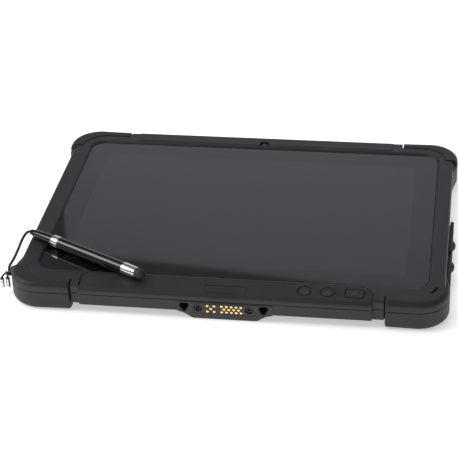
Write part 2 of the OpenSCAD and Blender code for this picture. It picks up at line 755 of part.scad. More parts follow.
// Loop round the lug's bar, with the knot beside it
module tether_knot() color("black") {
    translate(lug - [1.7, 0, 1]) rotate([0, loop_tilt, 0]) cord_ring(loop_r, loop_d);
    translate(knot) sphere(d = knot_d);
}

module tether_tails() color("black") {
    tube(tail_a, cord_d - 0.5);
    tube(tail_b, cord_d - 0.5);
}

module tether_end_caps() color("silver") for (t = [tail_a, tail_b])
    translate(t[len(t) - 1] - [0, 0, cap_len]) cylinder(d = cap_d, h = cap_len);

// ---------- Stylus ----------

// Puts the stylus axis, drawn along +Z, into place
module on_pen() {
    translate(pen_tail) rotate([0, 0, pen_turn]) rotate([0, 90 - pen_tilt, 0]) children();
}

module pen_part(profile) on_pen() rotate_extrude() polygon(profile);

module stylus_cap() color("black")
    pen_part([[0, 0], [1.9, 0], [2.2, 0.3], [2.9, 9], [ring_r - 0.5, cap_end], [0, cap_end]]);

module stylus_tail_ring() color("silver")
    pen_part([[0, cap_end], [ring_r - 0.1, cap_end], [ring_r, cap_end + 0.4], [ring_r, ring_end - 0.4],
        [ring_r - 0.1, ring_end], [0, ring_end]]);

module stylus_barrel() color("black") on_pen() translate([0, 0, ring_end])
    cylinder(d = pen_d, h = barrel_end - ring_end);

module stylus_tip_ring() color("silver")
    pen_part([[0, barrel_end], [ring_r - 0.1, barrel_end], [ring_r, barrel_end + 0.4],
        [ring_r - 0.3, tip_ring_end], [0, tip_ring_end]]);

module stylus_tip() color([0.2, 0.2, 0.2])
    pen_part(concat([[0, tip_ring_end], [tip_r, tip_ring_end]],
        [for (a = [0:15:75]) [tip_r * cos(a), pen_len - 3 + 3 * sin(a)]], [[0, pen_len]]));

upper_housing();
lower_housing();
perimeter_seal();
touch_glass();
glass_gasket();
display_module();
sensor_windows();
mid_frame();
front_strip();
label_plate();
rear_strip();
bumper_front_left_upper();
bumper_front_left_lower();
bumper_front_right_upper();
bumper_front_right_lower();
bumper_rear_left_upper();
bumper_rear_left_lower();
bumper_rear_right_upper();
bumper_rear_right_lower();
key_left();
key_right();
power_key();
key_board();
dome_switches();
dock_block();
dock_contacts();
dock_screws();
camera_module();
camera_window();
case_posts();
main_board();
heat_spreader();
gnss_module();
gnss_antenna();
radio_antennas();
speakers();
rear_camera();
rear_camera_window();
flash_lens();
battery_pack();
battery_terminals();
battery_cover();
case_screws();
strap_inserts();
side_board();
network_socket();
usb_socket();
port_cover_rear();
port_cover_front();
port_hinge_pins();
tether_lug();
tether_knot();
tether_cord();
tether_tails();
tether_end_caps();
stylus_cap();
stylus_tail_ring();
stylus_barrel();
stylus_tip_ring();
stylus_tip();
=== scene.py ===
"""Looks of the rugged tablet data collector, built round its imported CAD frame."""
import math

import bmesh
import bpy
from mathutils import Euler, Matrix, Vector


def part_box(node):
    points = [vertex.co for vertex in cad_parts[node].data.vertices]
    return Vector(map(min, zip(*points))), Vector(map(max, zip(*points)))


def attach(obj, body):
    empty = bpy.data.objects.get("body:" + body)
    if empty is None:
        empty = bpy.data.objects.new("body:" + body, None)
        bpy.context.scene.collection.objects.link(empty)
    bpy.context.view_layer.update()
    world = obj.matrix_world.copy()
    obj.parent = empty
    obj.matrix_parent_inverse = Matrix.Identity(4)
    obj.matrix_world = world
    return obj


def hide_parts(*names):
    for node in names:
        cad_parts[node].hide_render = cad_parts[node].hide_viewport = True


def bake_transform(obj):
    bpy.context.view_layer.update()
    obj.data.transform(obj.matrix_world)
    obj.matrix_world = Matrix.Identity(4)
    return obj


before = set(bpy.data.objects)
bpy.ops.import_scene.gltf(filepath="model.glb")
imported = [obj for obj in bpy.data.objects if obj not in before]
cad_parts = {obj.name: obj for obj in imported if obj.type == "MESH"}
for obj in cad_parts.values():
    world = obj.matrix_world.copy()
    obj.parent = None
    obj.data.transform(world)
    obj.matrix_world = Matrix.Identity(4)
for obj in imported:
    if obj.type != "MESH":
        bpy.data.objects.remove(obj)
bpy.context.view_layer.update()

scene = bpy.context.scene
MM = 0.001

# ---------- Sizes, in millimetres, as in the CAD source ----------

CASE_R = 17
PARTING = 12.8
SEAL = 0.15              # gap between the two housings
EASE = 0.25              # small bevel along the parting line
EDGE_Z = 5               # lowest point of the vertical side wall
BASE_Z = 0.8             # underside of the lower housing
BASE_INSET = 9           # inset of the underside behind its bevel
WALL = 2.6
GROOVE = 0.15            # gap round a part that sits in a housing
END_GROOVE = 0.7         # and at its ends
GLASS_R = 10
OVER = 5                 # how far a cutter runs past what it cuts


# ---------- Reading the frame ----------

def cad(node):
    """Lowest and highest corner of a CAD node, in millimetres."""
    lo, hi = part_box(node)
    return lo / MM, hi / MM


def islands(node):
    """Boxes of a CAD node's separate solids, in millimetres, from left to right and from low to high."""
    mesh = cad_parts[node].data
    key = [tuple(round(c, 6) for c in v.co) for v in mesh.vertices]
    parent = {k: k for k in key}

    def root(k):
        while parent[k] != k:
            parent[k] = parent[parent[k]]
            k = parent[k]
        return k

    for polygon in mesh.polygons:
        first = root(key[polygon.vertices[0]])
        for v in polygon.vertices[1:]:
            parent[root(key[v])] = first
    groups = {}
    for k in parent:
        groups.setdefault(root(k), []).append(k)
    boxes = []
    for points in groups.values():
        lo = Vector(min(p[i] for p in points) for i in range(3)) / MM
        hi = Vector(max(p[i] for p in points) for i in range(3)) / MM
        boxes.append((lo, hi))
    return sorted(boxes, key=lambda b: (round(b[0].x, 1), round(b[0].y, 1), round(b[0].z, 1)))


def middle(box):
    return (box[0] + box[1]) / 2


def centre_of(node):
    return middle(cad(node))


UPPER_LO, UPPER_HI = cad("upper_housing")
LOWER_LO, LOWER_HI = cad("lower_housing")
GLASS_LO, GLASS_HI = cad("touch_glass")
HALF_D = UPPER_HI.y


# ---------- Outlines ----------

def sweep(start, end, steps):
    """Angles from start to end, given in degrees, as radians."""
    return [math.radians(start + (end - start) * k / steps) for k in range(steps + 1)]


def arc(cx, cy, r, start, end, steps=12):
    """Points of an arc, with its angles in degrees."""
    return [(cx + r * math.cos(a), cy + r * math.sin(a)) for a in sweep(start, end, steps)]


def circle(cx, cy, r, sides=24):
    """The sides must divide 360 evenly."""
    return arc(cx, cy, r, 0, 360 - 360 / sides, sides - 1)


def turns(steps):
    """Angles of one full turn, in radians, without its end."""
    return [2 * math.pi * k / steps for k in range(steps)]


def round_rect(x0, y0, x1, y1, r, steps=12):
    return (arc(x1 - r, y1 - r, r, 0, 90, steps) + arc(x0 + r, y1 - r, r, 90, 180, steps)
            + arc(x0 + r, y0 + r, r, 180, 270, steps) + arc(x1 - r, y0 + r, r, 270, 360, steps))


def around(lo, hi, grow, r, steps=12):
    """Rounded rectangle round a box in plan, grown on all sides."""
    return round_rect(lo.x - grow, lo.y - grow, hi.x + grow, hi.y + grow, r, steps)


def flat_ring(outline, z):
    return [(x, y, z) for x, y in outline]


def smooth(t):
    t = min(max(t, 0), 1)
    return t * t * (3 - 2 * t)


def mix(a, b, t):
    return a + (b - a) * t


# ---------- Meshes, worked in millimetres ----------

def solid(name, points, faces):
    mesh = bpy.data.meshes.new(name)
    mesh.from_pydata([tuple(p) for p in points], [], faces)
    bm = bmesh.new()
    bm.from_mesh(mesh)
    bmesh.ops.remove_doubles(bm, verts=bm.verts, dist=1e-4)
    bmesh.ops.recalc_face_normals(bm, faces=bm.faces)
    bm.to_mesh(mesh)
    bm.free()
    obj = bpy.data.objects.new(name, mesh)
    scene.collection.objects.link(obj)
    return obj


def loft(name, rings, ends="cap"):
    """Joins rings of equal length. The ends are capped, or with loop the last ring meets the first."""
    n, m = len(rings[0]), len(rings)
    points = [p for ring in rings for p in ring]
    last = m if ends == "loop" else m - 1
    faces = [(i * n + k, i * n + (k + 1) % n, (i + 1) % m * n + (k + 1) % n, (i + 1) % m * n + k)
             for i in range(last) for k in range(n)]
    if ends == "cap":
        faces += [tuple(range(n - 1, -1, -1)), tuple(range((m - 1) * n, m * n))]
    return solid(name, points, faces)


def prism(name, outline, low, high, axis="z"):
    """Extrudes an outline along an axis. The outline holds (x, y), or (y, z) along x, or (x, z) along y."""
    place = {"x": lambda p, h: (h, p[0], p[1]), "y": lambda p, h: (p[0], h, p[1]),
             "z": lambda p, h: (p[0], p[1], h)}[axis]
    return loft(name, [[place(p, h) for p in outline] for h in (low, high)])


def block(name, lo, hi):
    return prism(name, [(lo[0], lo[1]), (hi[0], lo[1]), (hi[0], hi[1]), (lo[0], hi[1])], lo[2], hi[2])


def revolve(name, profile, place=Matrix.Identity(4), steps=48, ends="cap"):
    """Turns a profile of (radius, height) round the local Z axis."""
    rings = [[place @ Vector((r * math.cos(a), r * math.sin(a), h)) for a in turns(steps)]
             for r, h in profile]
    return loft(name, rings, ends)


def tube_rings(path, radius, sides):
    """Rings round a path of Vectors, carried along it without twist."""
    last = len(path) - 1
    tangents = [(path[min(i + 1, last)] - path[max(i - 1, 0)]).normalized() for i in range(last + 1)]
    side = tangents[0].orthogonal().normalized()
    rings = []
    for p, t in zip(path, tangents):
        side = (side - t * side.dot(t)).normalized()
        other = t.cross(side)
        rings.append([p + radius * (math.cos(a) * side + math.sin(a) * other) for a in turns(sides)])
    return rings


def curve_through(points, steps):
    """Catmull-Rom curve through points, as Vectors."""
    pts = [Vector(p) for p in points]
    pts = [2 * pts[0] - pts[1]] + pts + [2 * pts[-1] - pts[-2]]
    line = []
    for i in range(1, len(pts) - 2):
        a, b, c, d = pts[i - 1:i + 3]
        for k in range(steps):
            t = k / steps
            line.append(0.5 * (2 * b + (c - a) * t + (2 * a - 5 * b + 4 * c - d) * t ** 2
                               + (3 * b - a - 3 * c + d) * t ** 3))
    return line + [pts[-2]]


def bake(obj):
    """Applies the modifiers of obj."""
    graph = bpy.context.evaluated_depsgraph_get()
    obj.data = bpy.data.meshes.new_from_object(obj.evaluated_get(graph))
    obj.modifiers.clear()


def combine(obj, operation, others):
    for other in others:
        modifier = obj.modifiers.new(operation, "BOOLEAN")
        modifier.object, modifier.operation, modifier.solver = other, operation, "EXACT"
        bake(obj)
        bpy.data.objects.remove(other)
    return obj


def cut(obj, *others):
    return combine(obj, "DIFFERENCE", others)


def add(obj, *others):
    return combine(obj, "UNION", others)


def drill(obj, c, r, low, high, sides=24):
    """Upright round hole at the point c."""
    return cut(obj, prism("drill", circle(c.x, c.y, r, sides), low, high))


def join(obj, *others):
    """Puts separate closed meshes in one object."""
    bm = bmesh.new()
    for o in (obj, *others):
        bm.from_mesh(o.data)
    bm.to_mesh(obj.data)
    bm.free()
    for o in others:
        bpy.data.objects.remove(o)
    return obj


def soften(obj, width, segments=2, angle=35):
    """Rounds the sharp edges."""
    modifier = obj.modifiers.new("soft edges", "BEVEL")
    modifier.width, modifier.segments = width, segments
    modifier.limit_method, modifier.angle_limit = "ANGLE", math.radians(angle)
    bake(obj)
    return obj


def copy_of(node):
    """A CAD node's mesh as a new object in millimetres, with its flat faces whole."""
    bm = bmesh.new()
    bm.from_mesh(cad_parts[node].data)
    bmesh.ops.transform(bm, matrix=Matrix.Scale(1 / MM, 4), verts=bm.verts)
    bmesh.ops.remove_doubles(bm, verts=bm.verts, dist=1e-3)
    bmesh.ops.dissolve_limit(bm, angle_limit=math.radians(1), verts=bm.verts, edges=bm.edges)
    mesh = bpy.data.meshes.new(node)
    bm.to_mesh(mesh)
    bm.free()
    obj = bpy.data.objects.new(node, mesh)
    scene.collection.objects.link(obj)
    return obj


def set_material(obj, material):
    obj.data.materials.clear()
    obj.data.materials.append(material)


def finish_mesh(obj, material, angle=38):
    """Shades the piece, brings it to metres and gives it its material."""
    obj.data.transform(Matrix.Scale(MM, 4))
    obj.data.shade_smooth()
    obj.data.set_sharp_from_angle(angle=math.radians(angle))
    modifier = obj.modifiers.new("even shading", "WEIGHTED_NORMAL")
    modifier.keep_sharp = True
    bake(obj)
    set_material(obj, material)


def piece(obj, name, material, slot, body, *nodes, angle=38):
    """Finishes obj as a piece of the model that rides on a body and stands for CAD nodes."""
    obj.name = obj.data.name = name
    finish_mesh(obj, material, angle)
    obj.name = name
    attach(obj, body)
    if nodes:
        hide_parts(*nodes)
    return obj


# ---------- Materials ----------

def new_material(name):
    material = bpy.data.materials.new(name)
    material.use_nodes = True
    nodes = material.node_tree.nodes
    return material, nodes, material.node_tree.links, nodes["Principled BSDF"]


def put(node, values):
    """Sets the inputs of a shader node."""
    for name, value in values.items():
        node.inputs[name].default_value = value


def noise(nodes, links, size_mm, detail=2.0, stretch=(1, 1, 1)):
    """Noise in the object's own space, with grains of about that size."""
    coordinates = nodes.new("ShaderNodeTexCoord")
    mapping = nodes.new("ShaderNodeMapping")
    put(mapping, {"Scale": stretch})
    texture = nodes.new("ShaderNodeTexNoise")
    put(texture, {"Scale": 1 / (size_mm * MM), "Detail": detail})
    links.new(coordinates.outputs["Object"], mapping.inputs["Vector"])
    links.new(mapping.outputs["Vector"], texture.inputs["Vector"])
    return texture.outputs["Fac"]


def two_tone(nodes, links, factor, low, high, start=0.35, end=0.65):
    ramp = nodes.new("ShaderNodeValToRGB")
    ramp.color_ramp.elements[0].position, ramp.color_ramp.elements[1].position = start, end
    ramp.color_ramp.elements[0].color = (*low, 1)
    ramp.color_ramp.elements[1].color = (*high, 1)
    links.new(factor, ramp.inputs["Fac"])
    return ramp.outputs["Color"]


def ranged(nodes, links, factor, low, high):
    node = nodes.new("ShaderNodeMapRange")
    put(node, {"From Min": 0.3, "From Max": 0.7, "To Min": low, "To Max": high})
    links.new(factor, node.inputs["Value"])
    return node.outputs["Result"]


def relief(nodes, links, factor, strength, height_mm, base=None):
    bump = nodes.new("ShaderNodeBump")
    put(bump, {"Strength": strength, "Distance": height_mm * MM})
    links.new(factor, bump.inputs["Height"])
    if base is not None:
        links.new(base, bump.inputs["Normal"])
    return bump.outputs["Normal"]


def shade(colour, factor):
    return tuple(c * factor for c in colour)


def moulded(name, colour, rough, grain_mm=0.35):
    """Moulded plastic or rubber: fine grain, faintly uneven colour and gloss, and slow waviness."""
    material, nodes, links, shader = new_material(name)
    patches = noise(nodes, links, 18, 3)
    grain = noise(nodes, links, grain_mm, 3)
    waves = noise(nodes, links, 9, 1)
    links.new(two_tone(nodes, links, patches, shade(colour, 0.9), shade(colour, 1.1)),
              shader.inputs["Base Color"])
    links.new(ranged(nodes, links, grain, rough - 0.05, rough + 0.05), shader.inputs["Roughness"])
    wavy = relief(nodes, links, waves, 0.05, 0.05)
    links.new(relief(nodes, links, grain, 0.35, 0.02, wavy), shader.inputs["Normal"])
    return material


def metal(name, colour, rough, scratch=0.15):
    """Bare or plated metal with fine marks."""
    material, nodes, links, shader = new_material(name)
    put(shader, {"Metallic": 1})
    marks = noise(nodes, links, 0.25, 4)
    patches = noise(nodes, links, 4, 2)
    links.new(two_tone(nodes, links, patches, shade(colour, 0.93), colour), shader.inputs["Base Color"])
    links.new(ranged(nodes, links, marks, rough * 0.8, rough * 1.3), shader.inputs["Roughness"])
    links.new(relief(nodes, links, marks, scratch, 0.004), shader.inputs["Normal"])
    return material


def polished(name, colour, rough, ior=1.5):
    """Glass or lacquer: a smooth coat with faint smears."""
    material, nodes, links, shader = new_material(name)
    smears = noise(nodes, links, 14, 4, (1, 0.4, 1))
    links.new(two_tone(nodes, links, smears, shade(colour, 0.94), shade(colour, 1.06)),
              shader.inputs["Base Color"])
    links.new(ranged(nodes, links, smears, rough * 0.8, rough * 1.2), shader.inputs["Roughness"])
    put(shader, {"IOR": ior})
    return material


def board(name):
    """Solder mask with copper tracks showing through."""
    material, nodes, links, shader = new_material(name)
    tracks = noise(nodes, links, 1.6, 0, (1, 0.15, 1))
    links.new(two_tone(nodes, links, tracks, (0.01, 0.07, 0.025), (0.02, 0.14, 0.05), 0.48, 0.52),
              shader.inputs["Base Color"])
    put(shader, {"Roughness": 0.35})
    return material


def braided(name, colour):
    """Braided cord: crossing diagonal yarns, with painted shade in the grooves between them and painted light
    on their crests.
    """
    material, nodes, links, shader = new_material(name)
    coordinates = nodes.new("ShaderNodeTexCoord")
    yarns = []
    for turn in (35, -35):
        mapping = nodes.new("ShaderNodeMapping")
        put(mapping, {"Rotation": (math.radians(turn), math.radians(turn), 0)})
        wave = nodes.new("ShaderNodeTexWave")
        put(wave, {"Scale": 1 / (2.2 * MM)})
        links.new(coordinates.outputs["Object"], mapping.inputs["Vector"])
        links.new(mapping.outputs["Vector"], wave.inputs["Vector"])
        yarns.append(wave.outputs["Fac"])
    highest = nodes.new("ShaderNodeMath")
    highest.operation = "MAXIMUM"
    links.new(yarns[0], highest.inputs[0])
    links.new(yarns[1], highest.inputs[1])
    height = highest.outputs["Value"]
    # colour follows the yarns' height: darker in the grooves is painted shade, lighter on the crests is
    # painted light
    links.new(two_tone(nodes, links, height, shade(colour, 0.5), shade(colour, 1.4), 0.2, 0.9),
              shader.inputs["Base Color"])
    put(shader, {"Roughness": 0.75, "Sheen Weight": 0.15})
    links.new(relief(nodes, links, height, 0.6, 0.05), shader.inputs["Normal"])
    return material


HOUSING = moulded("housing_plastic", (0.0175, 0.017, 0.021), 0.52)
BUMPER = moulded("bumper_rubber", (0.0155, 0.0155, 0.0162), 0.54, 0.4)
STRIP = moulded("strip_rubber", (0.020, 0.0197, 0.0202), 0.54, 0.4)
KEY = moulded("key_rubber", (0.0205, 0.0202, 0.0206), 0.5, 0.3)
MARK = moulded("key_mark", (0.075, 0.075, 0.075), 0.5, 0.3)
SEAL_RUBBER = moulded("seal_rubber", (0.010, 0.010, 0.010), 0.7)
CONNECTOR = moulded("connector_plastic", (0.028, 0.028, 0.029), 0.5, 0.3)
INNER_BLACK = moulded("inner_black", (0.012, 0.012, 0.012), 0.6)
PEN_RUBBER = moulded("pen_rubber", (0.022, 0.022, 0.021), 0.6, 0.25)
BATTERY = moulded("battery_case", (0.035, 0.036, 0.045), 0.45)
CERAMIC = moulded("ceramic", (0.55, 0.45, 0.33), 0.5)
SENSOR = polished("sensor_lens", (0.45, 0.46, 0.5), 0.2)
GLASS = polished("printed_glass", (0.0045, 0.0043, 0.0045), 0.035)
PICTURE = polished("picture_area", (0.0105, 0.0112, 0.0135), 0.035)
LENS = polished("lens_glass", (0.004, 0.004, 0.006), 0.02, 1.6)
FLASH = polished("flash_lens", (0.6, 0.58, 0.5), 0.25)
LACQUER = polished("pen_lacquer", (0.004, 0.004, 0.0045), 0.06)
CHROME = metal("chrome", (0.72, 0.72, 0.72), 0.16, 0.06)
STEEL = metal("steel", (0.5, 0.5, 0.5), 0.3)
DARK_STEEL = metal("blackened_steel", (0.045, 0.045, 0.045), 0.35)
MAGNESIUM = metal("magnesium", (0.55, 0.56, 0.57), 0.45)
GOLD = metal("gold_plate", (0.98, 0.68, 0.31), 0.2, 0.05)
BRASS = metal("brass", (0.75, 0.55, 0.25), 0.3)
BOARD = board("circuit_board")
CORD = braided("cord_fabric", (0.02, 0.02, 0.02))

NODE_MATERIALS = {
    SEAL_RUBBER: ["perimeter_seal", "glass_gasket"], MAGNESIUM: ["mid_frame", "heat_spreader"],
    BOARD: ["key_board", "main_board", "side_board"],
    INNER_BLACK: ["camera_module", "rear_camera", "speakers"],
    STEEL: ["dome_switches", "gnss_module", "port_hinge_pins", "network_socket", "usb_socket"],
    GOLD: ["battery_terminals", "radio_antennas"], CERAMIC: ["gnss_antenna"], BATTERY: ["battery_pack"],
    SENSOR: ["sensor_windows"], HOUSING: ["case_posts"]}
for node_material, names in NODE_MATERIALS.items():
    for node_name in names:
        node_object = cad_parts[node_name]
        set_material(node_object, node_material)
        node_object.data.shade_smooth()
        node_object.data.set_sharp_from_angle(angle=math.radians(30))


# ---------- Camera, floor and light ----------

CAMERA_PLACE = (141.87, -880.03, 560.71)
CAMERA_TURN = (57.996, 2.097, 8.654)
CAMERA_LENS = 123.49
FLOOR_REACH = 6000
FLOOR_Z = -0.05
BACKDROP_X = (-583, 2400)            # left and right end of the backdrop that the glass reflects
BACKDROP_Y = 1500
BACKDROP_TOP = (1050, 1300)          # its height at either end


def make_camera():
    data = bpy.data.cameras.new("camera")
    data.lens, data.sensor_width = CAMERA_LENS, 36
    camera = bpy.data.objects.new("camera", data)
    camera.location = Vector(CAMERA_PLACE) * MM
    camera.rotation_euler = Euler([math.radians(a) for a in CAMERA_TURN])
    scene.collection.objects.link(camera)
    scene.camera = camera


def plain(name, colour, strength):
    material, _, _, shader = new_material(name)
    put(shader, {"Base Color": (*colour, 1), "Roughness": 0.9, "Specular IOR Level": 0.1,
                 "Emission Color": (*colour, 1), "Emission Strength": strength})
    return material


def make_stage():
    corners = [(x * FLOOR_REACH, y * FLOOR_REACH, FLOOR_Z) for x, y in ((-1, -1), (1, -1), (1, 1), (-1, 1))]
    floor = solid("floor", corners, [(0, 1, 2, 3)])
    (left, right), (left_top, right_top) = BACKDROP_X, BACKDROP_TOP
    corners = [(x, BACKDROP_Y, z) for x, z in ((left, 0), (right, 0), (right, right_top), (left, left_top))]
    backdrop = solid("backdrop", corners, [(0, 1, 2, 3)])
    for obj, material in ((floor, plain("floor_white", (0.92, 0.92, 0.92), 0.5)),
                          (backdrop, plain("backdrop_white", (0.72, 0.74, 0.83), 0.08))):
        obj.data.transform(Matrix.Scale(MM, 4))
        obj.data.materials.append(material)


def area_light(name, place, size, power, colour=(1, 1, 1), seen=True):
    data = bpy.data.lights.new(name, "AREA")
    data.shape, data.size, data.energy, data.color = "SQUARE", size * MM, power, colour
    light = bpy.data.objects.new(name, data)
    light.location = Vector(place) * MM
    light.rotation_euler = (-light.location).to_track_quat("-Z", "Y").to_euler()
    light.visible_glossy = seen
    scene.collection.objects.link(light)


def make_light():
    world = bpy.data.worlds.new("world")
    scene.world = world
    world.use_nodes = True
    background = world.node_tree.nodes["Background"]
    put(background, {"Color": (1.0, 0.95, 0.88, 1), "Strength": 0.24})
    area_light("overhead", (-250, 300, 1500), 1400, 14, seen=False)
    area_light("front_fill", (900, -1500, 900), 900, 0.8, (0.93, 0.96, 1.0), seen=False)
    area_light("pen_softbox", (-1080, -220, 870), 640, 8)
    scene.view_settings.view_transform = "Standard"


make_camera()
make_stage()
make_light()


# ---------- Tether cord ----------

CORD_PATH = [
    (-142.4, -78, 12.9), (-143.1, -74.6, 13.4), (-143.2, -72, 13.5), (-143.1, -69, 13.2),
    (-143, -66, 13.1), (-142.9, -63, 13.1), (-142.8, -60, 13.3), (-142.7, -57, 13.7),
    (-142.5, -54, 14.3), (-142.2, -51.4, 15.2), (-141.7, -49.2, 16.6), (-141, -47.4, 18),
    (-139.9, -46.2, 19.6), (-138.6, -45.4, 21), (-137.3, -45, 21.7), (-136.4, -45.15, 21.9)]
TAILS = [
    [(-142.3, -79.8, 12), (-142.4, -81, 11.8), (-142.5, -82, 11.3), (-142.5, -82.6, 10.4)],
    [(-142.9, -79.8, 12.2), (-143.9, -81.2, 12.6), (-145.1, -83.4, 12.3), (-145.6, -84.8, 11.3)]]
CORD_D = 1.8
TAIL_D = 1.3
KNOT_CORD = 1.5          # thickness of the cord that is drawn tight in the knot
KNOT_SIZE = 0.62         # scale of the trefoil that it follows
LOOP_R = 1.6
LOOP_TILT = -32
LOOP_CORD = 0.9
CAP_R = 1.5
CAP_LEN = 7
CAP_GROOVES = (1.6, 4.6)             # where the caps' two grooves begin, from the lower end
CAP_NECK = CAP_R - 0.16


def trefoil(a):
    """Point of a trefoil knot at the angle a, before scaling."""
    return Vector((math.sin(a) + 2 * math.sin(2 * a), math.cos(a) - 2 * math.cos(2 * a),
                   -1.2 * math.sin(3 * a)))


def make_cord():
    path = curve_through(CORD_PATH, 5)
    cord = loft("tether", tube_rings(path, CORD_D / 2, 20))
    finish_mesh(cord, CORD, 80)
    cord.name = "tether"
    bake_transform(cord)
    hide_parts("tether_cord")

    # overhand knot, and the loop round the lug
    ring_box, knot_box = sorted(islands("tether_knot"), key=lambda b: -b[1].z)
    knot_centre, ring_centre = middle(knot_box), middle(ring_box)
    knot_path = [knot_centre + KNOT_SIZE * trefoil(a) for a in turns(120)]
    knot = loft("knot", tube_rings(knot_path, KNOT_CORD / 2, 12), "loop")
    tilt = Matrix.Rotation(math.radians(LOOP_TILT), 3, "Y")
    ring_path = [ring_centre + tilt @ Vector((LOOP_R * math.cos(a), LOOP_R * math.sin(a), 0))
                 for a in turns(48)]
    ring = loft("loop", tube_rings(ring_path, LOOP_CORD / 2, 12), "loop")
    knot = piece(join(knot, ring), "tether_knot_tied", CORD, "cord", "case", "tether_knot", angle=80)

    tails = [loft("tail", tube_rings(curve_through(t, 6), TAIL_D / 2, 12)) for t in TAILS]
    tails = piece(join(*tails), "tether_tails_cut", CORD, "cord", "case", "tether_tails", angle=80)

    profile = [(0.4, 0), (CAP_R - 0.25, 0), (CAP_R, 0.25)]
    for z in CAP_GROOVES:
        profile += [(CAP_R, z), (CAP_NECK, z + 0.2), (CAP_NECK, z + 0.6), (CAP_R, z + 0.8)]
    profile += [(CAP_R, CAP_LEN - 0.4), (CAP_R - 0.3, CAP_LEN), (0.55, CAP_LEN)]
    caps = [revolve("cap", profile, Matrix.Translation((*middle(b).xy, b[0].z)), 36)
            for b in islands("tether_end_caps")]
    caps = piece(join(*caps), "tether_caps", CHROME, "chrome", "case", "tether_end_caps")


make_cord()


# ---------- Stylus ----------

TAIL_R = 1.95
TIP_R = 3.3
TIP_LEN = 3              # height of the tip's dome


def pen_axis():
    """Point on the stylus axis and its direction towards the tip, from two of its plain rings."""
    a, b = centre_of("stylus_tail_ring"), centre_of("stylus_barrel")
    return a, (b - a).normalized()


PEN_POINT, PEN_ALONG = pen_axis()


def pen_span(node):
    """Start, end and largest radius of a stylus node along its axis."""
    heights, radii = [], []
    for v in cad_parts[node].data.vertices:
        offset = v.co / MM - PEN_POINT
        height = offset.dot(PEN_ALONG)
        heights.append(height)
        radii.append((offset - height * PEN_ALONG).length)
    return min(heights), max(heights), max(radii)


def pen_piece(node, name, material, slot, profile):
    """A turned piece of the stylus. The profile is a list of (radius, share of the length, millimetres)."""
    start, end, _ = pen_span(node)
    place = Matrix.Translation(PEN_POINT) @ PEN_ALONG.to_track_quat("Z", "Y").to_matrix().to_4x4()
    points = [(r, mix(start, end, share) + extra) for r, share, extra in profile]
    obj = revolve(name, points, place, 64)
    return piece(obj, name, material, slot, "stylus", node)


def make_stylus():
    r = pen_span("stylus_barrel")[2]
    core = r - 0.5
    dome = [(TAIL_R * math.sin(a), 0, 1 - math.cos(a)) for a in sweep(15, 90, 5)]
    pen_piece("stylus_cap", "stylus_cap_turned", LACQUER, "pen_black",
              dome + [(2.15, 0, 2.4), (2.5, 0.2, 0), (2.88, 0.45, 0), (3.18, 0.75, 0), (3.38, 0.985, 0),
                      (3.2, 1, 0)])
    bead = [(core, 0, 0), (r + 0.05, 0, 0), (r + 0.2, 0, 0.35), (r + 0.2, 0, 1.1), (r + 0.08, 0, 1.3),
            (r + 0.08, 0, 1.5), (r + 0.2, 0, 1.7), (r + 0.2, 1, -0.4), (r + 0.05, 1, 0), (core, 1, 0)]
    pen_piece("stylus_tail_ring", "stylus_tail_band", CHROME, "chrome", bead)
    pen_piece("stylus_barrel", "stylus_barrel_lacquered", LACQUER, "pen_black",
              [(core, 0, 0), (r - 0.08, 0, 0), (r, 0, 0.1), (r, 1, -0.1), (r - 0.08, 1, 0), (core, 1, 0)])
    pen_piece("stylus_tip_ring", "stylus_tip_sleeve", CHROME, "chrome",
              [(core, 0, 0), (r + 0.05, 0, 0), (r + 0.18, 0, 0.3), (r + 0.14, 0.4, 0), (r - 0.08, 1, -0.5),
               (r - 0.25, 1, 0), (core - 0.1, 1, 0)])
    tip = [(TIP_R * math.cos(a), 1, -TIP_LEN + TIP_LEN * math.sin(a)) for a in sweep(0, 82.5, 11)]
    pen_piece("stylus_tip", "stylus_tip_dome", PEN_RUBBER, "pen_rubber", [(3, 0, 0), (TIP_R, 0, 0.1)] + tip)


make_stylus()


# ---------- Bumpers ----------

BUMPER_R = 19
BUMPER_INNER_R = 16
BUMPER_END = {-1: 80.6, 1: 77.0}     # where a front or rear bumper's top ends along the side
SIDE_END_Y = 63          # end of a bumper's arm on the side wall
SIDE_TOP = 16.9          # top of that arm
SIDE_FOOT = 2.6          # and its underside
SIDE_FLARE = 13          # length over which it grows out of the wall
SIDE_WIDTH = 5.5         # bumper's inner edge, from the side wall
ARM_END_X = 98           # end of a bumper's arm on the front or rear
ARM_END_R = 1.1          # rounding of that end
ARM_WIDTH = 7.7
TOP_R, FOOT_R = 3.6, 4.2             # roundings along the outer edges


def bumper_name(sx, sy, upper):
    return "bumper_{}_{}_{}".format("rear" if sy > 0 else "front", "right" if sx > 0 else "left",
                                    "upper" if upper else "lower")


def side_wall_x(sx):
    """Distance of the side wall on side sx from the middle plane."""
    return max(sx * UPPER_LO.x, sx * UPPER_HI.x)


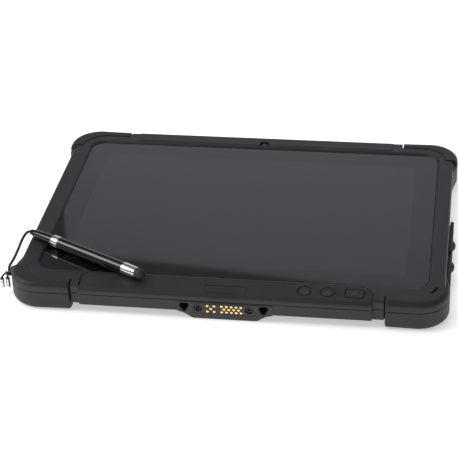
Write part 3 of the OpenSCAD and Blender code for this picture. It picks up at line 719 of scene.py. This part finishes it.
def bumper_stations(sx, sy, grow=0.0):
    """Stations along a bumper, from its front or rear arm to its side arm: outer and inner point in plan
    for the corner in the positive quadrant, top height, underside height and how far its end is rounded."""
    lo, hi = cad(bumper_name(sx, sy, True))
    x_out, y_out, top = max(sx * lo.x, sx * hi.x), max(sy * lo.y, sy * hi.y), hi.z
    side_wall = side_wall_x(sx)
    y_in, x_in = y_out - ARM_WIDTH - grow, side_wall - SIDE_WIDTH - grow
    end_gap = END_GROOVE if grow else 0.0
    inner_centre = (x_in - BUMPER_INNER_R, y_in - BUMPER_INNER_R)
    stations = []
    for a in sweep(0, 90, 4):
        x = ARM_END_X - end_gap + ARM_END_R * (1 - math.cos(a))
        stations.append(((x, y_out), (x, y_in), top, 0.0, ARM_END_R * (1 - math.sin(a))))
    for k in range(1, 6):
        t = k / 6
        stations.append(((mix(ARM_END_X + ARM_END_R, x_out - BUMPER_R, t), y_out),
                         (mix(ARM_END_X + ARM_END_R, inner_centre[0], t), y_in), top, 0.0, 0.0))
    end_y = BUMPER_END[sy]
    end_angle = math.degrees(math.asin((end_y - inner_centre[1]) / BUMPER_INNER_R))
    outer_arc = arc(x_out - BUMPER_R, y_out - BUMPER_R, BUMPER_R, 90, 0, 23) + [(x_out, end_y)]
    inner_arc = arc(*inner_centre, BUMPER_INNER_R, 90, end_angle, 24)
    stations += [(outer, inner, top, 0.0, 0.0) for outer, inner in zip(outer_arc, inner_arc)]
    x_end = inner_arc[-1][0]
    steps = [(end_y - 0.06, 0.2), (end_y - 0.12, 0.5), (end_y - 0.18, 1.0)]
    steps += [(y, 1.0) for y in (74, 71, 68, 65, SIDE_END_Y + 0.8, SIDE_END_Y + 0.3, SIDE_END_Y - grow)]
    for y, drop in steps:
        out = mix(side_wall + 0.25, x_out, smooth((y - SIDE_END_Y) / SIDE_FLARE))
        rounding = max(0.0, 0.25 * (1 - (y - SIDE_END_Y) / 0.8))
        stations.append(((out, y), (mix(x_end, side_wall - 0.9, drop), y), mix(top, SIDE_TOP, drop),
                         mix(0, SIDE_FOOT, drop), rounding))
    return stations


def bumper_section(station, upper):
    """Closed section of one half of a bumper at a station, as (distance from the outer face, height)."""
    outer, inner, top, bottom, ended = station
    width = (Vector(outer) - Vector(inner)).length
    if upper:
        r = min(TOP_R, width * 0.75)
        edge = [(ended + r * (1 - math.cos(a)), top - ended - r * (1 - math.sin(a)))
                for a in sweep(0, 90, 10)]
        return ([(width, PARTING), (ended + EASE, PARTING), (ended, PARTING + EASE)] + edge
                + [(width - 0.6, top - ended), (width - 0.15, top - ended - 0.2), (width, top - ended - 0.6)])
    r = min(FOOT_R, width * 0.75)
    low = PARTING - SEAL
    edge = [(ended + r * (1 - math.cos(a)), bottom + ended + r * (1 - math.sin(a)))
            for a in sweep(0, 90, 10)]
    foot = bottom + ended
    return ([(width, low), (ended + EASE, low), (ended, low - EASE)] + edge
            + [(width - 0.4, foot), (width - 0.1, foot + 0.1), (width, foot + 0.4)])


def make_bumper(sx, sy, upper):
    rings = []
    for station in bumper_stations(sx, sy):
        outer, inner = Vector(station[0]), Vector(station[1])
        inward = (inner - outer).normalized()
        ring = []
        for distance, height in bumper_section(station, upper):
            p = outer + inward * distance
            ring.append((sx * p.x, sy * p.y, height))
        rings.append(ring)
    name = bumper_name(sx, sy, upper)
    obj = loft(name, rings)
    if upper and sy < 0:
        cut(obj, crescent(sx, sy))
    return piece(obj, name + "_moulded", BUMPER, "bumper_rubber", "case", name)


def crescent(sx, sy):
    """Cutter for the crescent groove beside a front bumper's inner edge, near the end of its top."""
    outer = arc(112.6, 77.0, 17.0, 12, 38, 14)
    inner = arc(112.0, 76.6, 16.3, 38, 12, 14)
    return prism("crescent", [(sx * x, sy * y) for x, y in outer + inner], 17.2, 21)


def bumper_cutters(sx, sy):
    """Cutters that make room for a bumper in the housings."""
    stations = bumper_stations(sx, sy, GROOVE)
    top_part = [s for s in stations if s[0][1] >= BUMPER_END[sy]]
    first, last = top_part[0], top_part[-1]
    far_x, far_y, end_y = last[0][0] + OVER, first[0][1] + OVER, BUMPER_END[sy] - 0.25
    outline = [s[1] for s in top_part]
    outline += [(last[1][0], end_y), (far_x, end_y), (far_x, far_y), (first[0][0], far_y)]
    x0, x1, y0, y1 = side_wall_x(sx) - 1.1, side_wall_x(sx) + 9, SIDE_END_Y - 0.3, 90
    side = [(x0, y0), (x1, y0), (x1, y1), (x0, y1)]
    return [prism("seat", [(sx * x, sy * y) for x, y in outline], -2, 25),
            prism("side_seat", [(sx * x, sy * y) for x, y in side], SIDE_FOOT - 0.2, SIDE_TOP + 0.2)]


for corner_x in (-1, 1):
    for corner_y in (-1, 1):
        for is_upper in (True, False):
            make_bumper(corner_x, corner_y, is_upper)


def all_bumper_cutters():
    return [c for sx in (-1, 1) for sy in (-1, 1) for c in bumper_cutters(sx, sy)]


# ---------- Strips along the front and rear ----------

STRIP_LO, STRIP_HI = cad("front_strip")
REAR_LO, REAR_HI = cad("rear_strip")
RIDGE_DROP = 1.3         # fall of the front strip's top from its rear edge to its ridge
RIDGE_BACK = 2.9         # ridge to front face
KEY_GAP = 0.45           # gap round each key
RABBET = 2.6             # height of the strips' rabbet over the housing
LABEL_HALF = 3.25        # half the label's depth


def front_strip_plan(grow=0.0):
    x0, x1, y0, y1 = STRIP_LO.x - grow, STRIP_HI.x + grow, STRIP_LO.y, STRIP_HI.y
    return ([(x1 + grow, y0 - 5), (x1 + grow, y1 - 6.4)]
            + arc(x1 - 1 + grow, y1 - 6.4 + 0.2, 1.0, 0, 45, 4)
            + arc(x1 - 5.8 + grow * 0.5, y1 - 1 + grow, 1.0, 50, 90, 4)
            + arc(x0 + 4.5, y1 - 4.5, 4.5 + grow, 90, 180, 14) + [(x0 - grow, y0 - 5)])


def rear_strip_plan(grow=0.0):
    x0, x1, y0, y1 = REAR_LO.x, REAR_HI.x, REAR_LO.y, REAR_HI.y
    return ([(x0 - grow, y1 + 5)] + arc(x0 + 2.5, y0 + 2.5, 2.5 + grow, 180, 270, 8)
            + arc(x1 - 2.5, y0 + 2.5, 2.5 + grow, 270, 360, 8) + [(x1 + grow, y1 + 5)])


def strip_slope():
    return math.atan2(RIDGE_DROP, STRIP_HI.y - STRIP_LO.y - RIDGE_BACK)


def on_strip(x, y, depth=0.0):
    """Matrix that puts things on the front strip's sloping top at (x, y)."""
    z = STRIP_HI.z - (STRIP_HI.y - y) * math.tan(strip_slope()) - depth
    return Matrix.Translation((x, y, z)) @ Matrix.Rotation(strip_slope(), 4, "X")


def make_front_strip():
    y_back, y_face, top, low = STRIP_HI.y, STRIP_LO.y, STRIP_HI.z, STRIP_LO.z
    ridge_z = top - RIDGE_DROP
    profile = ([(y_back, low + RABBET), (y_back, top)]
               + [(y_face + RIDGE_BACK * (1 - math.sin(a)), ridge_z - 3.1 * (1 - math.cos(a)))
                  for a in sweep(6, 90, 10)]
               + [(y_face, low), (y_face + 2.5, low), (y_face + 2.5, low + RABBET)])
    obj = prism("strip", profile, STRIP_LO.x - 2, STRIP_HI.x + 2, "x")
    combine(obj, "INTERSECT", [prism("plan", front_strip_plan(), low - OVER, top + OVER)])
    label_lo, label_hi = cad("label_plate")
    gap = 0.35
    bed = round_rect(label_lo.x - gap, -LABEL_HALF - gap, label_hi.x + gap, LABEL_HALF + gap, 1.0, 6)
    bed_cut = prism("bed", bed, -0.35, 3)
    label_place = on_strip(0, centre_of("label_plate").y)
    bed_cut.data.transform(label_place)
    cut(obj, bed_cut)
    for node in ("key_left", "key_right"):
        lo, hi = cad(node)
        c = middle((lo, hi))
        drill(obj, c, (hi.x - lo.x) / 2 + KEY_GAP, low + 1, top + 4, 48)
    cut(obj, prism("hole", around(*cad("power_key"), KEY_GAP, 2.2), low + 1, top + 4))
    soften(obj, 0.3, 2, 40)
    piece(obj, "front_strip_moulded", STRIP, "strip_rubber", "case", "front_strip")

    plate = prism("plate", round_rect(label_lo.x, -LABEL_HALF, label_hi.x, LABEL_HALF, 0.9, 6), -0.34, -0.1)
    plate.data.transform(label_place)
    soften(plate, 0.08, 1, 40)
    piece(plate, "label_inset", STRIP, "strip_rubber", "case", "label_plate")


def make_rear_strip():
    y0, y1, top, low = REAR_LO.y, REAR_HI.y, REAR_HI.z, REAR_LO.z
    profile = ([(y0, low + RABBET), (y0, top - 0.5)] + arc(y0 + 0.5, top - 0.5, 0.5, 180, 90, 4)
               + arc(y1 - 2.2, top - 2.2, 2.2, 90, 0, 9)
               + [(y1, low), (y1 - 2.5, low), (y1 - 2.5, low + RABBET)])
    obj = prism("strip", profile, REAR_LO.x - 2, REAR_HI.x + 2, "x")
    combine(obj, "INTERSECT", [prism("plan", rear_strip_plan(), low - OVER, top + OVER)])
    window = centre_of("camera_window")
    notch = arc(window.x, window.y, 3.2, 0, 180, 16) + [(window.x - 3.2, y0 - 2), (window.x + 3.2, y0 - 2)]
    cut(obj, prism("notch", notch, low - 1, top + 3))
    for x in (-19.5, 19):
        cut(obj, prism("microphone", circle(x, y0 + 3.1, 0.5, 16), low + 2.8, top + 3))
    soften(obj, 0.25, 2, 40)
    piece(obj, "rear_strip_moulded", STRIP, "housing", "case", "rear_strip")


make_front_strip()
make_rear_strip()


# ---------- Keys ----------

STEM_R = 1.8
STROKE = 0.35            # line width of the marks


def make_round_key(node, symbol):
    lo, hi = cad(node)
    c = middle((lo, hi))
    r = (hi.x - lo.x) / 2
    place = on_strip(c.x, c.y)
    top = 0.12
    profile = [(STEM_R, -3.6), (STEM_R, -2.0), (r, -1.9), (r, top - 0.55), (r - 0.12, top - 0.2),
               (r - 0.45, top), (r - 0.8, top - 0.02), (r - 1.1, top - 0.1), (r * 0.4, top - 0.2),
               (0.05, top - 0.22)]
    key = revolve("key", profile, place, 56)
    piece(key, node + "_cap", KEY, "key_rubber", node, node)
    mark_symbol(node, symbol, place, top - 0.2)


def mark_symbol(node, symbol, place, height):
    """Raised generic sign on a key: a list of outlines of (x, y), each a thin wall."""
    mark = join(*[prism("mark", outline, height - 0.12, height + 0.06) for outline in symbol])
    mark.data.transform(place)
    piece(mark, node + "_mark", MARK, "key_rubber", node)


def open_ring(r, start, end, steps=20):
    half = STROKE / 2
    return arc(0, 0, r + half, start, end, steps) + arc(0, 0, r - half, end, start, steps)


def make_keys():
    make_round_key("key_left", [open_ring(1.1, 20, 340)])
    bar = [(-1.3, -0.18), (1.3, -0.18), (1.3, 0.18), (-1.3, 0.18)]
    make_round_key("key_right", [bar, [(x, y + 0.8) for x, y in bar], [(x, y - 0.8) for x, y in bar]])
    lo, hi = cad("power_key")
    c = middle((lo, hi))
    w, d = (hi.x - lo.x) / 2, (hi.y - lo.y) / 2
    rings = []
    for inset, z in ((0.0, -1.25), (0.0, -0.35), (0.12, 0.0), (0.45, 0.15), (0.9, 0.12), (1.4, 0.0)):
        outline = round_rect(-w + inset, -d + inset, w - inset, d - inset, 1.9 - inset, 10)
        rings.append(flat_ring(outline, z))
    key = loft("key", rings)
    place = on_strip(c.x, c.y)
    key.data.transform(place)
    stem = prism("stem", circle(c.x, c.y, STEM_R), lo.z, hi.z - 0.9)
    add(key, stem)
    piece(key, "power_key_cap", KEY, "key_rubber", "power_key", "power_key")
    stroke = [(-0.18, 0.4), (0.18, 0.4), (0.18, 1.7), (-0.18, 1.7)]
    mark_symbol("power_key", [open_ring(1.3, 120, 420), stroke], place, 0.02)


make_keys()


# ---------- Housings ----------

RIM_R = 1.9              # height of the rounding along the rim's outer edge
# slope of the rim towards the glass: (distance from the glass, drop)
RIM_SLOPE = ((2.1, 0), (1.7, 0.04), (1.3, 0.16), (0.95, 0.4), (0.6, 0.75), (0.35, 1.0), (0.2, 1.1),
             (0.14, 1.25))
FLOOR_T = 1.8
PORT_Z = (4.1, 11.6)     # lowest and highest point of the port recesses
PORT_DEPTH = 5
HINGE_Z = 5.2
SLOT_PITCH = 2.4


def case_ring(inset, z):
    return flat_ring(round_rect(UPPER_LO.x + inset, -HALF_D + inset, UPPER_HI.x - inset, HALF_D - inset,
                                max(CASE_R - inset, 1), 20), z)


def glass_ring(grow, z):
    return flat_ring(around(GLASS_LO, GLASS_HI, grow, GLASS_R + grow, 20), z)


def make_upper_housing():
    top = UPPER_HI.z
    rings = [case_ring(EASE, PARTING), case_ring(0, PARTING + EASE), case_ring(0, top - RIM_R)]
    rings += [case_ring(1.7 * (1 - math.cos(a)), top - RIM_R + RIM_R * math.sin(a)) for a in sweep(15, 75, 4)]
    rings += [case_ring(1.75, top), case_ring(3.2, top)]
    rings += [glass_ring(grow, top - drop) for grow, drop in RIM_SLOPE]
    rings.append(glass_ring(RIM_SLOPE[-1][0], PARTING))
    obj = loft("upper", rings, "loop")
    shelf, below, above = STRIP_LO.z + RABBET + 0.1, PARTING - 2, top + OVER
    cut(obj, prism("front_seat", front_strip_plan(GROOVE), shelf, above),
        block("front_wall", (STRIP_LO.x - GROOVE, -HALF_D - 3, below),
              (STRIP_HI.x + GROOVE, -HALF_D + 1.6, above)),
        prism("rear_seat", rear_strip_plan(GROOVE), shelf, above),
        block("rear_wall", (REAR_LO.x - GROOVE, HALF_D - 1.9, below),
              (REAR_HI.x + GROOVE, HALF_D + 3, above)))
    drill(obj, centre_of("camera_window"), 2.0, below, above, 48)
    cut(obj, *all_bumper_cutters())
    piece(obj, "upper_housing_moulded", HOUSING, "housing", "case", "upper_housing")


def dock_outline(grow=0.0, rounding=1.4):
    """Front outline of the docking connector, with round corners, as (x, z)."""
    lo, hi = cad("dock_block")
    top, low = hi.z, lo.z
    corners = [(lo.x, top), (lo.x, 4.8), (-26.5, 4.2), (-24, 2.8), (-20.3, low), (19.9, low), (23.6, 2.8),
               (26.2, 4.2), (hi.x, 4.8), (hi.x, top)]
    centre = Vector((0, 8))
    points = []
    for i, corner in enumerate(corners):
        here = Vector(corner)
        before, after = Vector(corners[i - 1]), Vector(corners[(i + 1) % len(corners)])
        a = here + (before - here).normalized() * min(rounding, (before - here).length * 0.45)
        b = here + (after - here).normalized() * min(rounding, (after - here).length * 0.45)
        for k in range(5):
            t = k / 4
            p = a * (1 - t) ** 2 + here * 2 * t * (1 - t) + b * t ** 2
            points.append(tuple(p + (p - centre).normalized() * grow))
    return points


def make_lower_housing():
    high = PARTING - SEAL
    obj = loft("lower", [case_ring(inset, z) for inset, z in (
        (12, BASE_Z), (BASE_INSET + 0.7, BASE_Z), (BASE_INSET - 0.4, BASE_Z + 0.2), (1.1, EDGE_Z - 0.35),
        (0.35, EDGE_Z + 0.25), (0, EDGE_Z + 1.4), (0, high - EASE), (EASE, high))])
    cavity = loft("cavity", [case_ring(WALL + BASE_INSET - 1, BASE_Z + FLOOR_T), case_ring(WALL, EDGE_Z + 1),
                             case_ring(WALL, high + 1)])
    # raised panels below the front and the rear strip
    front_y, rear_y, turn_z, foot_z = LOWER_LO.y, LOWER_HI.y, EDGE_Z + 0.8, EDGE_Z - 1.2
    panel = [(front_y + EASE, high), (front_y, high - EASE), (front_y, turn_z)]
    panel += arc(front_y + 1, turn_z, 1, 180, 250, 6) + [(front_y + 6, foot_z), (front_y + 6, high)]
    panel = prism("panel", panel, STRIP_LO.x, STRIP_HI.x, "x")
    rear = [(rear_y - EASE, high), (rear_y, high - EASE), (rear_y, turn_z)]
    rear += arc(rear_y - 0.8, turn_z, 0.8, 0, -70, 6) + [(rear_y - 4, foot_z), (rear_y - 4, high)]
    rear = prism("rear", rear, REAR_LO.x, REAR_HI.x, "x")
    add(obj, panel, rear)
    cut(obj, cavity, *all_bumper_cutters())
    dock_lo, dock_hi = cad("dock_block")
    cut(obj, prism("dock", dock_outline(0.03), dock_lo.y - 3, dock_hi.y, "y"))
    for node in ("port_cover_rear", "port_cover_front"):
        lo, hi = cad(node)
        side, y0, y1 = UPPER_HI.x, lo.y - 0.2, hi.y + 0.2
        cut(obj, block("port", (side - PORT_DEPTH, y0, PORT_Z[0]), (side + 3, y1, PORT_Z[1])),
            prism("hinge_room", circle(side + 1.2, HINGE_Z, 2.2), y0, y1, "y"))
    for node in ("network_socket", "usb_socket"):
        lo, hi = cad(node)
        cut(obj, block("socket", lo - Vector((0.1,) * 3), hi + Vector((3, 0.1, 0.1))))
    cut(obj, prism("cover_step", around(*cad("battery_cover"), 0.25, 6.2), -1, BASE_Z + 0.7))
    for b in islands("case_screws"):
        drill(obj, middle(b), 2.7, -1, BASE_Z + FLOOR_T)
    for b in islands("strap_inserts"):
        drill(obj, middle(b), 2.85, -1, b[1].z + 0.5)
    drill(obj, centre_of("rear_camera_window"), 4.6, -1, BASE_Z + 1.6, 48)
    drill(obj, centre_of("flash_lens"), 2.6, -1, BASE_Z + 1.6)
    for b in islands("speakers"):
        c = middle(b)
        for k in range(-2, 3):
            y = c.y + k * SLOT_PITCH
            slot = round_rect(c.x - 7, y - 0.6, c.x + 7, y + 0.6, 0.59, 5)
            cut(obj, prism("slot", slot, -1, BASE_Z + FLOOR_T + 0.1))
    piece(obj, "lower_housing_moulded", HOUSING, "housing", "case", "lower_housing")


make_upper_housing()
make_lower_housing()


# ---------- Glass ----------

PICTURE_BORDER_X = 5     # from the display module's edges to the picture area
PICTURE_BORDER_Y = (4.4, 7.0)


def make_glass():
    top, low = GLASS_HI.z, GLASS_LO.z
    rings = [glass_ring(grow, z) for grow, z in ((0, low), (0, top - 0.3), (-0.1, top - 0.1), (-0.35, top))]
    obj = loft("glass", rings)
    piece(obj, "touch_glass_polished", GLASS, "screen_glass", "case", "touch_glass")
    lo, hi = cad("display_module")
    sheet = block("picture", (lo.x + PICTURE_BORDER_X, lo.y + PICTURE_BORDER_Y[0], top - 0.2),
                  (hi.x - PICTURE_BORDER_X, hi.y - PICTURE_BORDER_Y[1], top + 0.012))
    piece(sheet, "picture_area", PICTURE, "display", "case")
    set_material(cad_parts["display_module"], INNER_BLACK)


make_glass()


# ---------- Docking connector ----------

GUIDE_X = (-25.4, 24)
GUIDE_Z = 8.6
GUIDE_R = 2.75
PLATE_Z = (4.0, 11.3)    # lowest and highest point of the thin groove round the pads


def guide_mouth(x, grow=0.0):
    """Rounded triangle that points down."""
    points = []
    for a in turns(36):
        reach = GUIDE_R * (1 + 0.16 * math.cos(3 * (a + math.pi / 2))) + grow
        points.append((x + reach * math.cos(a), GUIDE_Z + reach * math.sin(a)))
    return points


def make_dock():
    lo, hi = cad("dock_block")
    face = lo.y
    rings = []
    for inset, depth in ((0, hi.y), (0, face + 0.35), (0.1, face + 0.1), (0.35, face)):
        rings.append([(x, depth, z) for x, z in dock_outline(-inset)])
    obj = loft("dock", rings)
    pads, screws = islands("dock_contacts"), islands("dock_screws")
    for b in pads:
        c = middle(b)
        cut(obj, prism("pad", circle(c.x, c.z, 1.14), face - 1, face + 0.35, "y"))
    for b in screws:
        c = middle(b)
        cut(obj, prism("screw", circle(c.x, c.z, 2.75, 48), face - 1, face + 0.8, "y"),
            prism("screw_deep", circle(c.x, c.z, 2.45, 48), face - 1, face + 2.5, "y"))
    for x in GUIDE_X:
        cut(obj, prism("guide", guide_mouth(x), face - 1, face + 8, "y"),
            prism("guide_lip", guide_mouth(x, 0.45), face - 1, face + 0.4, "y"))
    # thin groove round the pads and the screws
    x0, x1, (z0, z1), wide = screws[0][0].x - 1.3, screws[1][1].x + 1.3, PLATE_Z, 0.25
    outer = round_rect(x0, z0, x1, z1, 0.9, 6)
    inner = round_rect(x0 + wide, z0 + wide, x1 - wide, z1 - wide, 0.7, 6)
    groove = cut(prism("groove", outer, face - 1, face + 0.25, "y"),
                 prism("core", inner, face - 2, face + 1, "y"))
    cut(obj, groove)
    piece(obj, "dock_block_moulded", CONNECTOR, "connector_black", "case", "dock_block")

    turned = Matrix.Rotation(math.radians(90), 4, "X")
    tips = []
    profile = [(0.8, -3), (0.99, -3), (1.0, -0.35), (0.95, -0.15), (0.8, -0.02), (0.45, 0.05), (0.02, 0.08)]
    for b in pads:
        c = middle(b)
        tips.append(revolve("pad", profile, Matrix.Translation((c.x, b[0].y + 0.02, c.z)) @ turned, 24))
    piece(join(*tips), "dock_contact_pins", GOLD, "gold_contact", "case", "dock_contacts")

    heads = []
    profile = [(1.2, -9), (1.25, -1.6), (2.3, -1.5), (2.35, -0.25), (2.15, 0), (1.2, 0.02), (1.15, -0.7),
               (0.3, -0.75), (0.28, 0.0), (0.02, 0.02)]
    for b in screws:
        c = middle(b)
        heads.append(revolve("screw", profile, Matrix.Translation((c.x, face + 0.9, c.z)) @ turned, 40))
    piece(join(*heads), "dock_screw_heads", DARK_STEEL, "steel", "case", "dock_screws")


make_dock()


# ---------- Lenses ----------

def lens(node, name, material, slot, rim=0.35):
    """Domed lens inside a narrow ring, facing the way its node faces."""
    lo, hi = cad(node)
    c = middle((lo, hi))
    r = (hi.x - lo.x) / 2
    up = hi.z > PARTING
    place = Matrix.Translation((c.x, c.y, hi.z if up else lo.z))
    if not up:
        place = place @ Matrix.Rotation(math.pi, 4, "X")
    depth = hi.z - lo.z
    profile = [(r * 0.9, -depth), (r, -depth), (r, -0.05), (r - 0.05, 0), (r - rim, 0),
               (r - rim - 0.1, -0.18), (r * 0.55, -0.1), (r * 0.3, -0.04), (0.02, -0.02)]
    piece(revolve(name, profile, place, 48), name, material, slot, "case", node)


lens("camera_window", "camera_lens", LENS, "lens_glass")
lens("rear_camera_window", "rear_camera_lens", LENS, "lens_glass", 0.9)
lens("flash_lens", "flash_dome", FLASH, "lens_glass", 0.3)


# ---------- Side ports ----------

KNOB_R = 3.1
KNOB_HALF = 2.6          # half the knob's thickness
KNOB_Z = 9.6
GRIP_PITCH = 1.8         # of the grooves in the knob


def make_port_cover(node, body, tab_y):
    """Cover with a rounded plate, a hinge roll along its foot, a plug and a round finger knob."""
    lo, hi = cad(node)
    wall, hinge_x = UPPER_HI.x + 0.4, UPPER_HI.x + 0.4 + 0.8
    rings = []
    for inset, out in ((0, 0), (0, 1.7), (0.15, 2.1), (0.5, 2.35), (1.0, 2.4)):
        outline = round_rect(lo.y + inset, HINGE_Z + inset, hi.y - inset, hi.z - inset, 2.2 - inset, 8)
        rings.append([(wall + out, y, z) for y, z in outline])
    obj = loft("plate", rings)
    roll = prism("roll", circle(hinge_x, HINGE_Z, 1.6), lo.y, hi.y, "y")
    plug = prism("plug", round_rect(lo.y + 1.8, 7, hi.y - 1.8, 10, 0.8, 4), wall - 2.4, wall + 0.1, "x")
    bulge = [(KNOB_R * math.cos(a), KNOB_HALF * math.sin(a)) for a in sweep(-50, 75, 10)]
    knob = revolve("knob", [(0.3, -KNOB_HALF)] + bulge + [(0.3, KNOB_HALF + 0.02)],
                   Matrix.Translation((wall + 1.6, tab_y, KNOB_Z)) @ Matrix.Rotation(math.radians(90), 4, "Y")
                   @ Matrix.Diagonal((0.78, 1.75, 1.0, 1.0)), 40)
    add(obj, roll, plug, knob)
    cut(obj, prism("bore", circle(hinge_x, HINGE_Z, 0.65), lo.y - 1, hi.y + 1, "y"))
    for k in (-1, 0, 1):
        y = tab_y + k * GRIP_PITCH
        cut(obj, block("grip", (wall + 3.2, y - 0.25, 7), (wall + 6, y + 0.25, 12)))
    piece(obj, node + "_moulded", STRIP, "strip_rubber", body, node)


make_port_cover("port_cover_rear", "cover_rear", -18)
make_port_cover("port_cover_front", "cover_front", -43)


# ---------- Underside ----------

RIB_PITCH = 9            # of the grooves in the battery cover
STAR_R = 1.15            # mean radius of the screws' six-lobed sockets
INSERT_HOLE = 2.0
THREAD_PITCH = 0.35


def star():
    """Outline of a six-lobed socket."""
    radii = [(STAR_R * (1 + 0.14 * math.cos(6 * a)), a) for a in turns(36)]
    return [(r * math.cos(a), r * math.sin(a)) for r, a in radii]


def make_underside():
    lo, hi = cad("battery_cover")
    cover = loft("cover", [flat_ring(around(lo, hi, -inset, 6 - inset), z)
                           for inset, z in ((0, 1.5), (0, 0.35), (0.12, 0.1), (0.4, 0))])
    for k in range(-3, 4):
        y = middle((lo, hi)).y + k * RIB_PITCH
        cut(cover, prism("rib", round_rect(lo.x + 12, y - 1.2, hi.x - 12, y + 1.2, 1.19, 6), -1, 0.35))
    piece(cover, "battery_cover_ribbed", HOUSING, "housing", "case", "battery_cover")

    down = Matrix.Rotation(math.pi, 4, "X")
    heads = []
    profile = [(1.1, -12), (1.15, -1.5), (2.3, -1.45), (2.4, -0.3), (2.2, -0.05), (1.7, 0), (0.02, 0)]
    for b in islands("case_screws"):
        place = Matrix.Translation((*middle(b).xy, b[0].z)) @ down
        head = revolve("screw", profile, place, 32)
        socket = prism("socket", star(), -0.9, 1)
        socket.data.transform(place)
        heads.append(cut(head, socket))
    piece(join(*heads), "case_screw_heads", STEEL, "steel", "case", "case_screws")

    inserts = []
    for b in islands("strap_inserts"):
        r, depth = (b[1].x - b[0].x) / 2, b[1].z - b[0].z
        place = Matrix.Translation((*middle(b).xy, b[0].z)) @ down
        profile = [(INSERT_HOLE, 0), (r - 0.15, 0), (r, -0.15), (r, -depth)]
        profile += [(INSERT_HOLE + 0.18 * (k % 2), -depth + THREAD_PITCH * k)
                    for k in range(int(depth / THREAD_PITCH))]
        inserts.append(revolve("insert", profile, place, 40, "loop"))
    piece(join(*inserts), "strap_insert_threads", BRASS, "brass_insert", "case", "strap_inserts")


make_underside()
lug = copy_of("tether_lug")
piece(lug, "tether_lug_moulded", CONNECTOR, "lug_plastic", "case", "tether_lug", angle=60)
